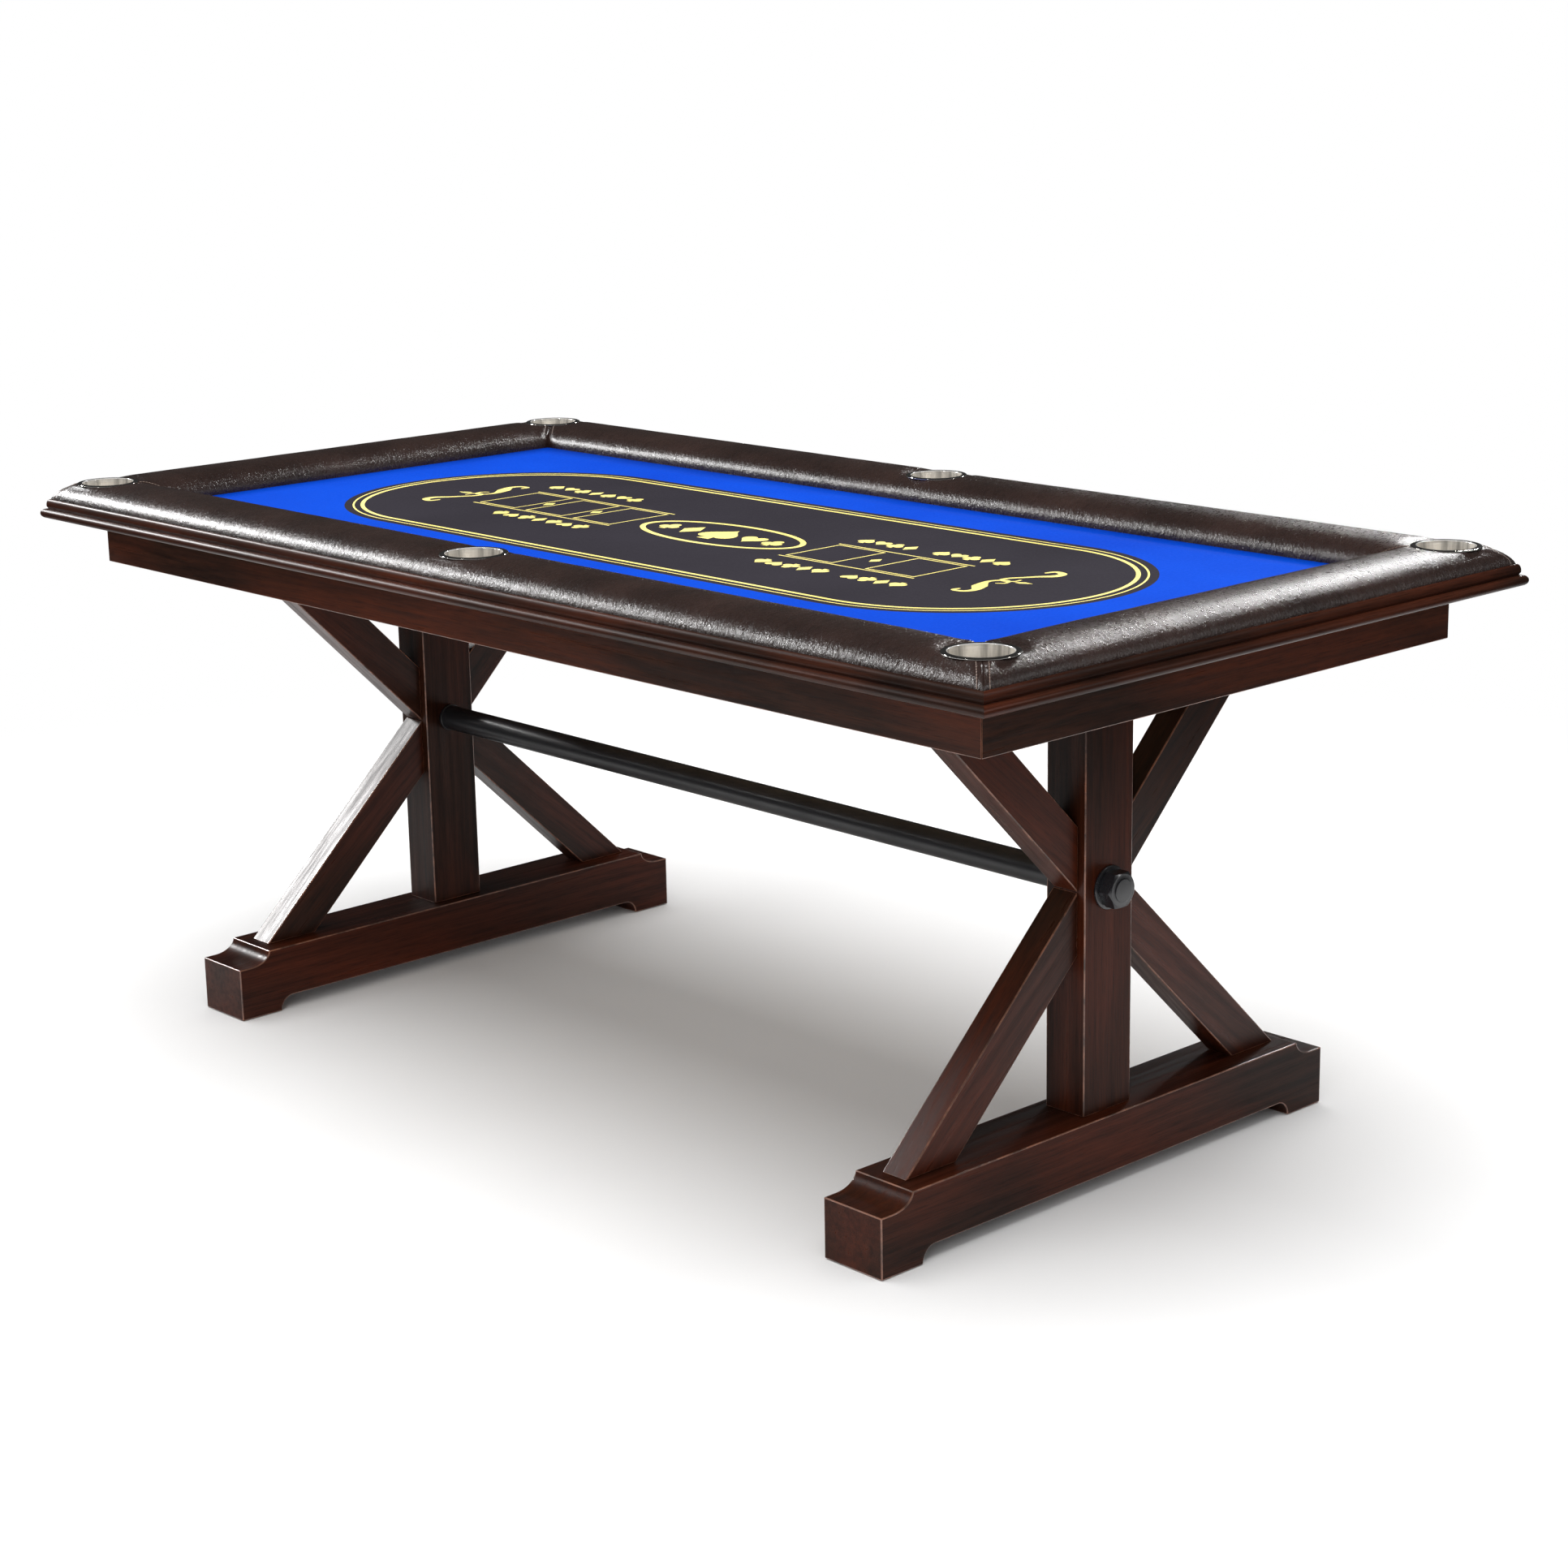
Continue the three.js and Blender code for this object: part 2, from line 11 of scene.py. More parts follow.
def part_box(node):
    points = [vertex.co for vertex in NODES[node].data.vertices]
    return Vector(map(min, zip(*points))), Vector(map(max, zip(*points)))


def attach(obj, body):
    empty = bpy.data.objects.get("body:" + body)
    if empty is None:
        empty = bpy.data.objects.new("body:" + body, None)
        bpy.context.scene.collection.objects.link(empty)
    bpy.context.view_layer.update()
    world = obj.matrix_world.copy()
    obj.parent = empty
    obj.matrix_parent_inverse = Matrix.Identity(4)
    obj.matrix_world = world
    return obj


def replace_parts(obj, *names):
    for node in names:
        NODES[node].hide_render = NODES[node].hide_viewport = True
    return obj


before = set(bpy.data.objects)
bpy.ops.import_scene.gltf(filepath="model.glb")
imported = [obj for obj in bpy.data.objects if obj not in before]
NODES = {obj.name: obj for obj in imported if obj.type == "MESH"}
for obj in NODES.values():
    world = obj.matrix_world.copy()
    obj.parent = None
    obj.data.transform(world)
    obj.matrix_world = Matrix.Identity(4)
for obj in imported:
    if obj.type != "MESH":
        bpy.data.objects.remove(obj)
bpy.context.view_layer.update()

MM = 0.001
SHORTEST_ARRIS = 3 * MM  # that is eased on a CAD shape
SIDES = {"right": 0.0, "back": math.pi / 2, "left": math.pi, "front": -math.pi / 2}  # turns about Z
LONG = ("front", "back")
SCENE = bpy.context.scene


def smooth(a, b, x):
    """A soft step, from 0 at a to 1 at b."""
    t = np.clip((x - a) / (b - a), 0, 1)
    return t * t * (3 - 2 * t)


# ---- Making pieces ----
def placed(name, mesh, materials, body="root", at=None):
    """A piece from a mesh: smooth, with its materials, riding on a body."""
    mesh.polygons.foreach_set("use_smooth", [True] * len(mesh.polygons))
    obj = bpy.data.objects.new(name, mesh)
    SCENE.collection.objects.link(obj)
    for material in materials:
        mesh.materials.append(material)
    if at is not None:
        obj.location = at
    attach(obj, body)
    return obj


def solid(name, verts, faces, materials, body="root", at=None, turn=Matrix.Identity(4)):
    """A piece from its points and faces, with its faces looking outwards."""
    mesh = bpy.data.meshes.new(name)
    mesh.from_pydata([tuple(turn @ Vector(v)) for v in verts], [], faces)
    obj = placed(name, mesh, materials, body, at)
    bm = bmesh.new()
    bm.from_mesh(mesh)
    bmesh.ops.recalc_face_normals(bm, faces=bm.faces)
    bm.to_mesh(mesh)
    bm.free()
    return obj


def weighted(obj):
    """Normals weighted by face size, so that wide faces shade flat beside their eased edges."""
    normals = obj.modifiers.new("weighted normals", "WEIGHTED_NORMAL")
    normals.weight = 80
    normals.keep_sharp = True
    return obj


def applied(obj):
    """The object with its modifiers worked into its mesh."""
    bpy.context.view_layer.update()
    evaluated = obj.evaluated_get(bpy.context.evaluated_depsgraph_get())
    mesh = bpy.data.meshes.new_from_object(evaluated)
    obj.modifiers.clear()
    obj.data = mesh
    return obj


def mark_sharp(obj, degrees):
    """Edges that turn more than this are shaded sharp."""
    bm = bmesh.new()
    bm.from_mesh(obj.data)
    for edge in bm.edges:
        edge.smooth = len(edge.link_faces) == 2 and edge.calc_face_angle(math.pi) < math.radians(degrees)
    bm.to_mesh(obj.data)
    bm.free()


def eased(bm, degrees, width, material, shortest=0):
    """Rounds the outer arrises that turn more than this. The new faces take the material of that number."""
    usable = [e for e in bm.edges if len(e.link_faces) == 2 and e.calc_length() > shortest]
    arrises = [e for e in usable if e.calc_face_angle_signed(0) > math.radians(degrees)]
    bmesh.ops.bevel(
        bm, geom=arrises, offset=width, offset_type="OFFSET", segments=2, profile=0.6, affect="EDGES",
        clamp_overlap=True, material=material,
    )


def dressed(node, materials, width, sharpest=24):
    """A CAD node's shape as a new piece, with its arrises eased. The last material is the easing's."""
    bm = bmesh.new()
    bm.from_mesh(NODES[node].data)
    bmesh.ops.remove_doubles(bm, verts=bm.verts, dist=0.02 * MM)
    bmesh.ops.dissolve_limit(bm, angle_limit=math.radians(0.6), verts=bm.verts, edges=bm.edges)
    bm.normal_update()
    eased(bm, sharpest, width, len(materials) - 1, SHORTEST_ARRIS)
    mesh = bpy.data.meshes.new("eased_" + node)
    bm.to_mesh(mesh)
    bm.free()
    for edge in mesh.edges:
        edge.use_edge_sharp = False
    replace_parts(weighted(placed(mesh.name, mesh, materials)), node)


def lathe(profile, segments):
    """Points and faces of a profile of (radius, z) turned about Z. A radius of 0 closes it with one point."""
    verts, rows, faces = [], [], []
    angles = [2 * math.pi * k / segments for k in range(segments)]
    for radius, z in profile:
        if radius == 0:
            rows.append([len(verts)] * segments)
            verts.append((0, 0, z))
        else:
            rows.append(list(range(len(verts), len(verts) + segments)))
            verts += [(radius * math.cos(a), radius * math.sin(a), z) for a in angles]
    for low, high in zip(rows, rows[1:]):
        for k in range(segments):
            n = (k + 1) % segments
            face = list(dict.fromkeys((low[k], low[n], high[n], high[k])))
            if len(face) > 2:
                faces.append(face)
    return verts, faces


def extruded(outline, x0, x1):
    """Points and faces of an outline of (y, z) swept from x0 to x1."""
    verts = [(x, y, z) for x in (x0, x1) for y, z in outline]
    n = len(outline)
    faces = [list(range(n))[::-1], [n + i for i in range(n)]]
    faces += [[i, (i + 1) % n, n + (i + 1) % n, n + i] for i in range(n)]
    return verts, faces


# ---- Where the sides and the cups are ----
def side_frame(side):
    """How far out a side's moulding reaches, and a function from (out, along, z) to a point of the table."""
    lo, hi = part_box(f"moulding_{side}")
    reach = max(abs(lo.y), abs(hi.y)) if side in LONG else max(abs(lo.x), abs(hi.x))
    c, s = math.cos(SIDES[side]), math.sin(SIDES[side])
    return reach, lambda out, along, z: (out * c - along * s, out * s + along * c, z)


def run_half(side, out):
    """Half the length of a mitred run at a distance out from the table's middle."""
    length, width = TABLE_HALF
    return out + (length - width if side in LONG else width - length)


def cup_place(name):
    """The middle of a cup's flange, at its top."""
    lo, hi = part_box(f"cup_{name}")
    return Vector(((lo.x + hi.x) / 2, (lo.y + hi.y) / 2, hi.z))


TABLE_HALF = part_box("moulding_right")[1].x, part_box("moulding_back")[1].y
CORNERS = ("left_front", "right_front", "left_back", "right_back")
CUP_AT = {name: cup_place(name) for name in (*LONG, *CORNERS)}
CUP_RADIUS = (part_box("cup_front")[1].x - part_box("cup_front")[0].x) / 2


# ---- Procedural materials ----
class Finish:
    """A node material on one Principled shader. What is the same all over is set on its own sockets."""

    def __init__(self, name, **values):
        self.material = bpy.data.materials.new(name)
        self.material.use_nodes = True
        self.tree = self.material.node_tree
        self.shader = self.tree.nodes["Principled BSDF"]
        for socket, value in values.items():
            self.shader.inputs[socket.replace("_", " ")].default_value = value

    def add(self, kind, inputs=None, **settings):
        made_node = self.tree.nodes.new(kind)
        for key, value in settings.items():
            setattr(made_node, key, value)
        for key, value in (inputs or {}).items():
            if isinstance(value, bpy.types.NodeSocket):
                self.tree.links.new(value, made_node.inputs[key])
            else:
                made_node.inputs[key].default_value = value
        return made_node

    def place(self, scale=(1, 1, 1), turn=(0, 0, 0)):
        at = self.add("ShaderNodeTexCoord").outputs["Object"]
        turned = self.add("ShaderNodeMapping", {"Vector": at, "Rotation": turn}).outputs[0]
        return self.add("ShaderNodeMapping", {"Vector": turned, "Scale": scale}).outputs[0]

    def noise(self, at, scale, detail=4, rough=0.55, warp=0.0):
        values = {"Vector": at, "Scale": scale, "Detail": detail, "Roughness": rough, "Distortion": warp}
        return self.add("ShaderNodeTexNoise", values).outputs["Fac"]

    def ramp(self, fac, *stops):
        made_node = self.add("ShaderNodeValToRGB", {"Fac": fac})
        elements = made_node.color_ramp.elements
        while len(elements) < len(stops):
            elements.new(0.5)
        for element, (position, colour) in zip(elements, stops):
            element.position = position
            element.color = (*((colour,) * 3 if isinstance(colour, float) else colour), 1)
        return made_node.outputs["Color"]

    def mix(self, a, b, fac, how="MIX"):
        made_node = self.add("ShaderNodeMix", data_type="RGBA", blend_type=how)
        for key, value in ((0, fac), (6, a), (7, b)):
            if isinstance(value, bpy.types.NodeSocket):
                self.tree.links.new(value, made_node.inputs[key])
            else:
                made_node.inputs[key].default_value = value if key == 0 else (*value, 1)
        return made_node.outputs[2]

    def math(self, how, a, b):
        return self.add("ShaderNodeMath", {0: a, 1: b}, operation=how).outputs[0]

    def bump(self, height, strength, distance, below=None):
        values = {"Height": height, "Strength": strength, "Distance": distance}
        if below is not None:
            values["Normal"] = below
        return self.add("ShaderNodeBump", values).outputs["Normal"]

    def feed(self, socket, value):
        self.tree.links.new(value, self.shader.inputs[socket])


def wood(name, turn, tones, shine=0.20):
    """Stained hardwood under satin lacquer. Its grain runs along X once the coordinates are turned."""
    dark, mid, red = tones
    f = Finish(name, Specular_IOR_Level=shine, IOR=1.5)
    figure = f.noise(f.place((1.6, 20, 20), turn), 1.5, 7, 0.62, 0.9)
    streaks = f.noise(f.place((2.6, 95, 95), turn), 1.2, 5, 0.6, 0.3)
    patches = f.noise(f.place((1.1, 3.2, 3.2), turn), 2.1, 3, 0.5)
    pores = f.noise(f.place((22, 620, 620), turn), 1.0, 3, 0.7)
    base = f.ramp(figure, (0.30, dark), (0.52, mid), (0.72, dark))
    warm = f.mix(base, red, f.ramp(patches, (0.42, 0.0), (0.64, 0.95)))
    fine = f.mix(warm, f.ramp(streaks, (0.32, 0.35), (0.62, 1.0)), 0.75, "MULTIPLY")
    f.feed("Base Color", f.mix(fine, f.ramp(pores, (0.36, 0.25), (0.50, 1.0)), 0.55, "MULTIPLY"))
    f.feed("Roughness", f.ramp(streaks, (0.3, 0.44), (0.7, 0.26)))
    lines = f.bump(f.ramp(pores, (0.36, 0.0), (0.5, 1.0)), 0.22, 0.00012)
    f.feed("Normal", f.bump(figure, 0.10, 0.0006, lines))
    return f.material


def toned(*shares):
    """The wood's dark, middle and red tones, each channel taken down to its share."""
    return [tuple(share * c for share, c in zip(shares, tone)) for tone in ESPRESSO]


def brace_wood(name, angle):
    """Grain along a brace that rises at this angle from the Y axis."""
    lean = Euler((-angle, 0, 0)).to_matrix()
    turn = (Euler(ALONG_Y).to_matrix() @ lean).to_euler()
    return wood(name, tuple(turn), LEG_SHADED_TONES)


def worn_with_painted_highlight(name, colour):
    """Lacquer worn thin along an arris, and lighter than the wood: a painted highlight that shows the arris
    as a bright line.
    """
    f = Finish(name, Specular_IOR_Level=0.6, Coat_Weight=0.5, Coat_Roughness=0.12)
    wear = f.noise(f.place(), 34, 5, 0.7)
    low = tuple(0.22 * c for c in colour)
    f.feed("Base Color", f.ramp(wear, (0.38, low), (0.64, colour)))
    f.feed("Roughness", f.ramp(wear, (0.3, 0.42), (0.7, 0.24)))
    f.feed("Normal", f.bump(f.noise(f.place(), 420, 3), 0.12, 0.0002))
    return f.material


def leather(along):
    """Full grain hide: fine crinkles that run across the rail and break up its highlights."""
    f = Finish(
        "leather_along_" + along,
        Specular_IOR_Level=0.5, Coat_Weight=0.12, Coat_Roughness=0.30, IOR=1.48,
    )
    at = f.place()
    across = f.place((2.4, 1, 1.4) if along == "x" else (1, 2.4, 1.4))
    cells = f.add("ShaderNodeTexVoronoi", {"Vector": across, "Scale": 95}, feature="SMOOTH_F1").outputs[0]
    small = f.add("ShaderNodeTexVoronoi", {"Vector": at, "Scale": 560}, feature="SMOOTH_F1").outputs[0]
    crease = f.ramp(cells, (0.10, 1.0), (0.70, 0.0))
    pebble = f.ramp(small, (0.10, 1.0), (0.70, 0.0))
    crinkle = f.noise(across, 150, 5, 0.66, 0.6)
    swell = f.noise(at, 34, 3, 0.5, 0.4)
    broad = f.noise(at, 9, 4, 0.55)
    base = f.ramp(broad, (0.32, (0.0150, 0.0080, 0.0064)), (0.70, (0.0300, 0.0160, 0.0128)))
    # Darker in the grooves of the crease and pebble bumps: painted shade in the creases.
    base = f.mix(base, f.ramp(crease, (0.0, 0.65), (0.45, 1.0)), 0.5, "MULTIPLY")
    f.feed("Base Color", f.mix(base, f.ramp(pebble, (0.0, 0.65), (0.6, 1.0)), 0.5, "MULTIPLY"))
    f.feed("Roughness", f.ramp(crinkle, (0.30, 0.36), (0.72, 0.22)))
    n = f.bump(swell, 0.5, 0.0018)
    n = f.bump(crinkle, 0.6, 0.0013, n)
    n = f.bump(crease, 0.5, 0.0006, n)
    f.feed("Normal", f.bump(pebble, 0.5, 0.0003, n))
    return f.material


def thread():
    f = Finish("seam_thread", Specular_IOR_Level=0.4, Sheen_Weight=0.3, Sheen_Roughness=0.4)
    ply = f.noise(f.place(), 1500, 3)
    f.feed("Base Color", f.ramp(ply, (0.3, (0.13, 0.085, 0.066)), (0.7, (0.30, 0.22, 0.18))))
    f.feed("Roughness", f.ramp(ply, (0.3, 0.75), (0.7, 0.5)))
    f.feed("Normal", f.bump(ply, 0.5, 0.0002))
    return f.material


def cloth(name, low, high, sheen, tint, rough, ink=False):
    """Woven speed cloth, or the ink printed on it."""
    f = Finish(
        name, Specular_IOR_Level=0.02, Sheen_Weight=sheen, Sheen_Roughness=0.5, Sheen_Tint=(*tint, 1)
    )
    threads = {"Vector": f.place(), "Scale": 420, "Distortion": 0.4}
    warp = f.add("ShaderNodeTexWave", threads, bands_direction="X")
    weft = f.add("ShaderNodeTexWave", threads, bands_direction="Y")
    weave = f.math("MULTIPLY", warp.outputs["Fac"], weft.outputs["Fac"])
    nap = f.noise(f.place(), 260, 6, 0.7)
    broad = f.noise(f.place(), 3.2, 3)
    tone = f.mix(low, high, f.ramp(broad, (0.3, 0.0), (0.7, 1.0)))
    tone = f.mix(tone, f.ramp(nap, (0.25, 0.72), (0.75, 1.0)), 0.25 if ink else 0.6, "MULTIPLY")
    shade = f.ramp(weave, (0.0, 0.72), (0.6, 1.0))
    f.feed("Base Color", f.mix(tone, shade, 0.15 if ink else 0.35, "MULTIPLY"))
    f.feed("Roughness", f.ramp(nap, (0.3, rough + 0.06), (0.7, rough - 0.06)))
    n = f.bump(weave, 0.20 if ink else 0.35, 0.00018)
    f.feed("Normal", f.bump(nap, 0.25, 0.00025, n))
    return f.material


def polished():
    f = Finish("polished_steel", Metallic=1.0)
    smudge = f.noise(f.place(), 60, 4)
    f.feed("Base Color", f.ramp(smudge, (0.3, (0.52, 0.50, 0.47)), (0.7, (0.66, 0.63, 0.59))))
    f.feed("Roughness", f.ramp(smudge, (0.3, 0.05), (0.7, 0.13)))
    return f.material


def brushed():
    """A cup's satin inside, streaked down its wall, with painted shade that darkens it towards its floor."""
    f = Finish("brushed_steel", Metallic=0.6, Anisotropic=0.5)
    around = f.noise(f.place((14, 14, 2600)), 1.0, 4, 0.7)
    rings = f.noise(f.place((260, 260, 0)), 1.0, 3)
    streaks = f.noise(f.place((95, 95, 3)), 1.0, 3, 0.5)
    tone = f.ramp(around, (0.3, (0.84, 0.78, 0.69)), (0.7, (0.98, 0.94, 0.87)))
    tone = f.mix(tone, f.ramp(streaks, (0.36, 0.34), (0.58, 1.0)), 0.9, "MULTIPLY")
    tone = f.mix(tone, f.ramp(rings, (0.3, 0.86), (0.7, 1.0)), 0.5, "MULTIPLY")
    height = f.add("ShaderNodeSeparateXYZ", {0: f.add("ShaderNodeTexCoord").outputs["Object"]}).outputs["Z"]
    # Painted shade: the colour fades towards black down the wall to the cup's floor.
    painted_shade_span = {"Value": height, "From Min": -46 * MM, "From Max": -12 * MM, "To Min": 0.16}
    shade = f.add("ShaderNodeMapRange", painted_shade_span).outputs[0]
    f.feed("Base Color", f.mix((0.0, 0.0, 0.0), tone, shade))
    f.feed("Roughness", f.ramp(around, (0.3, 0.42), (0.7, 0.30)))
    f.feed("Normal", f.bump(around, 0.20, 0.0001))
    return f.material


# Near-white steel for the cups' mouth lips and rolled edges: a painted highlight in place of their glints.
def painted_highlight_steel():
    f = Finish("painted_highlight_lip", Metallic=0.55)
    smudge = f.noise(f.place(), 90, 3)
    f.feed("Base Color", f.ramp(smudge, (0.3, (0.86, 0.84, 0.80)), (0.7, (0.97, 0.96, 0.94))))
    f.feed("Roughness", f.ramp(smudge, (0.3, 0.10), (0.7, 0.18)))
    return f.material


def black_steel(name, rough, coat, lift=1.0):
    """Black paint on steel. A higher lift makes it greyer."""
    f = Finish(name, Specular_IOR_Level=0.5, Coat_Weight=coat, Coat_Roughness=0.2)
    peel = f.noise(f.place(), 700, 3)
    broad = f.noise(f.place(), 14, 4)
    dark = tuple(lift * c for c in (0.0065, 0.0066, 0.0078))
    light = tuple(lift * c for c in (0.0115, 0.0117, 0.0135))
    f.feed("Base Color", f.ramp(broad, (0.3, dark), (0.7, light)))
    f.feed("Roughness", f.ramp(broad, (0.3, rough + 0.07), (0.7, rough - 0.05)))
    f.feed("Normal", f.bump(peel, 0.16, 0.00012))
    return f.material


def raw_board(name, turn, light, darker, fibre):
    f = Finish(name, Specular_IOR_Level=0.3)
    grain = f.noise(f.place((2.2, 34, 34), turn), 1.6, 6, 0.6, 0.7)
    speck = f.noise(f.place((fibre, 520, 520), turn), 1.0, 3, 0.7)
    tone = f.ramp(grain, (0.32, darker), (0.66, light))
    f.feed("Base Color", f.mix(tone, f.ramp(speck, (0.3, 0.6), (0.6, 1.0)), 0.6, "MULTIPLY"))
    f.feed("Roughness", f.ramp(speck, (0.3, 0.86), (0.7, 0.72)))
    f.feed("Normal", f.bump(speck, 0.3, 0.0002))
    return f.material


def foam():
    f = Finish("foam_underlay", Specular_IOR_Level=0.2)
    cells = f.add("ShaderNodeTexVoronoi", {"Vector": f.place(), "Scale": 900}).outputs["Distance"]
    f.feed("Base Color", f.ramp(cells, (0.1, (0.52, 0.50, 0.44)), (0.7, (0.78, 0.75, 0.68))))
    f.feed("Roughness", f.ramp(cells, (0.1, 0.98), (0.7, 0.86)))
    f.feed("Normal", f.bump(cells, 0.4, 0.0004))
    return f.material


def nylon():
    f = Finish("black_nylon", Specular_IOR_Level=0.45)
    mould = f.noise(f.place(), 380, 3)
    f.feed("Base Color", f.ramp(mould, (0.3, (0.010, 0.010, 0.010)), (0.7, (0.020, 0.020, 0.021))))
    f.feed("Roughness", f.ramp(mould, (0.3, 0.62), (0.7, 0.48)))
    f.feed("Normal", f.bump(mould, 0.2, 0.0002))
    return f.material


ALONG_X, ALONG_Y, ALONG_Z = (0, 0, 0), (0, 0, math.pi / 2), (0, math.pi / 2, 0)
ESPRESSO = (0.0125, 0.0056, 0.0037), (0.044, 0.0160, 0.0090), (0.098, 0.0230, 0.0098)
# The legs' tones are darker and redder than the aprons': a redder stain, and painted shade for the trestles
# under the table.
APRON_TONES, EDGE_TONES, LEG_SHADED_TONES = toned(1, 1, 1), toned(0.72, 0.72, 0.72), toned(0.76, 0.64, 0.55)
APRON_X = wood("espresso_along_x", ALONG_X, APRON_TONES)
APRON_Y = wood("espresso_along_y", ALONG_Y, APRON_TONES)
EDGE_X = wood("moulding_espresso_along_x", ALONG_X, EDGE_TONES, 0.13)
EDGE_Y = wood("moulding_espresso_along_y", ALONG_Y, EDGE_TONES, 0.13)
LEG_Y = wood("leg_espresso_painted_shade_along_y", ALONG_Y, LEG_SHADED_TONES, 0.12)
LEG_Z = wood("leg_espresso_painted_shade_along_z", ALONG_Z, LEG_SHADED_TONES, 0.12)
# Arris colour: worn lacquer, lighter than the wood as a painted highlight.
WORN_ARRIS_WITH_HIGHLIGHT = worn_with_painted_highlight("worn_arris_painted_highlight", (0.26, 0.105, 0.060))
LEATHER_X, LEATHER_Y, THREAD = leather("x"), leather("y"), thread()
BLUE = cloth("blue_cloth", (0.0006, 0.046, 0.46), (0.0010, 0.062, 0.55), 0.0, (0.25, 0.45, 1.0), 0.78)
CHARCOAL = cloth(
    "charcoal_print", (0.022, 0.0195, 0.025), (0.028, 0.025, 0.032), 0.01, (0.5, 0.5, 0.6), 0.72, ink=True
)
GOLD = cloth("gold_print", (0.74, 0.61, 0.17), (0.88, 0.76, 0.26), 0.01, (1.0, 0.9, 0.6), 0.60, ink=True)
POLISHED, BRUSHED, PAINTED_HIGHLIGHT_STEEL = polished(), brushed(), painted_highlight_steel()
TUBE_BLACK = black_steel("satin_black_tube", 0.36, 0.0)
NUT_BLACK = black_steel("black_nut", 0.30, 0.4, 1.7)
PINE_X = raw_board("raw_pine_x", ALONG_X, (0.44, 0.29, 0.15), (0.30, 0.175, 0.085), 9)
PINE_Y = raw_board("raw_pine_y", ALONG_Y, (0.44, 0.29, 0.15), (0.30, 0.175, 0.085), 9)
MDF = raw_board("plain_board", ALONG_X, (0.33, 0.235, 0.145), (0.27, 0.19, 0.115), 300)
FOAM, NYLON = foam(), nylon()


# ---- Mouldings and aprons ----
BEAD_HEIGHT, BEAD_DEPTH, BEAD_STEP = 13.6 * MM, 7 * MM, 1 * MM
MOULDING_BASE, MOULDING_REBATE = 19 * MM, 8 * MM
CAD_GAP = 0.3 * MM  # between pieces that touch
MITRE_GAP = 0.05 * MM


def ellipse(x, z, rx, rz, start, end, steps):
    """Points on an ellipse, from one angle in degrees to the other."""
    angles = [math.radians(start + (end - start) * i / steps) for i in range(steps + 1)]
    return [(x + rx * math.cos(a), z + rz * math.sin(a)) for a in angles]


def moulding_section(base, top):
    """(inset, z) round the moulding: a lower bead, a small step, and a nose that curves to the leather."""
    step = base + BEAD_HEIGHT
    nose = top - step - BEAD_STEP
    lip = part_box("moulding_right")[1].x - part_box("rail_pad_right")[1].x - CAD_GAP
    bead = ellipse(BEAD_DEPTH, base + BEAD_HEIGHT / 2, -BEAD_DEPTH, BEAD_HEIGHT / 2, -66, 66, 22)
    section = [(MOULDING_BASE, base), (BEAD_DEPTH + 1.5 * MM, base), (0.80 * BEAD_DEPTH, base + 0.25 * MM)]
    section += [(max(inset, 0.02 * MM), z) for inset, z in bead]
    section += [(0.86 * BEAD_DEPTH, step - 0.15 * MM), (BEAD_DEPTH + 1.4 * MM, step - 0.1 * MM)]
    section += [(BEAD_DEPTH + 1.5 * MM, step + 0.9 * MM)]
    section += ellipse(lip, step + BEAD_STEP + nose / 3, BEAD_DEPTH - lip, nose * 2 / 3, -14, 84, 16)
    section += [(lip, top), (lip, top - MOULDING_REBATE), (MOULDING_BASE, top - MOULDING_REBATE)]
    return section


def moulding(side):
    """A run of the moulding's section with 45 degree ends."""
    lo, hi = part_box(f"moulding_{side}")
    section = moulding_section(lo.z, hi.z)
    reach, world = side_frame(side)
    count = len(section)
    stations = (-1.0, -0.999, -0.5, 0.0, 0.5, 0.999, 1.0)
    verts = []
    for share in stations:
        for inset, z in section:
            out = reach - inset
            verts.append(world(out, share * (run_half(side, out) - MITRE_GAP), z))
    faces = [list(range(count))[::-1], [(len(stations) - 1) * count + j for j in range(count)]]
    for i in range(len(stations) - 1):
        for j in range(count):
            k = (j + 1) % count
            faces.append([i * count + j, i * count + k, (i + 1) * count + k, (i + 1) * count + j])
    grain = EDGE_X if side in LONG else EDGE_Y
    obj = solid(f"eased_moulding_{side}", verts, faces, [grain, WORN_ARRIS_WITH_HIGHLIGHT])
    mark_sharp(obj, 38)
    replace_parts(obj, f"moulding_{side}")


for side in SIDES:
    moulding(side)
    dressed(f"apron_{side}", [APRON_X if side in LONG else APRON_Y, WORN_ARRIS_WITH_HIGHLIGHT], 1.1 * MM)


# ---- Trestles ----
EASING = 1.5 * MM
TOE, FOOT_COVE = 67 * MM, 20 * MM  # under the beam
TOE_DROP, TOE_FLAT, TOP_COVE = 18.5 * MM, 51 * MM, 32 * MM  # on top of its ends


def foot_outline(half, base, top):
    """(y, z) round a foot beam: two toes with a cove inside each, and a cove down to each end's block."""
    block_top = top - TOE_DROP
    inside = half - TOE - FOOT_COVE
    steps = [math.radians(90 * i / 14) for i in range(15)]
    right = [(inside + FOOT_COVE * math.sin(a), base + FOOT_COVE * math.cos(a)) for a in steps]
    right += [(half, base), (half, block_top)]
    right += [(half - TOE_FLAT + TOP_COVE * (1 - math.sin(a)), top - TOE_DROP * math.cos(a)) for a in steps]
    return right + [(-y, z) for y, z in reversed(right)]


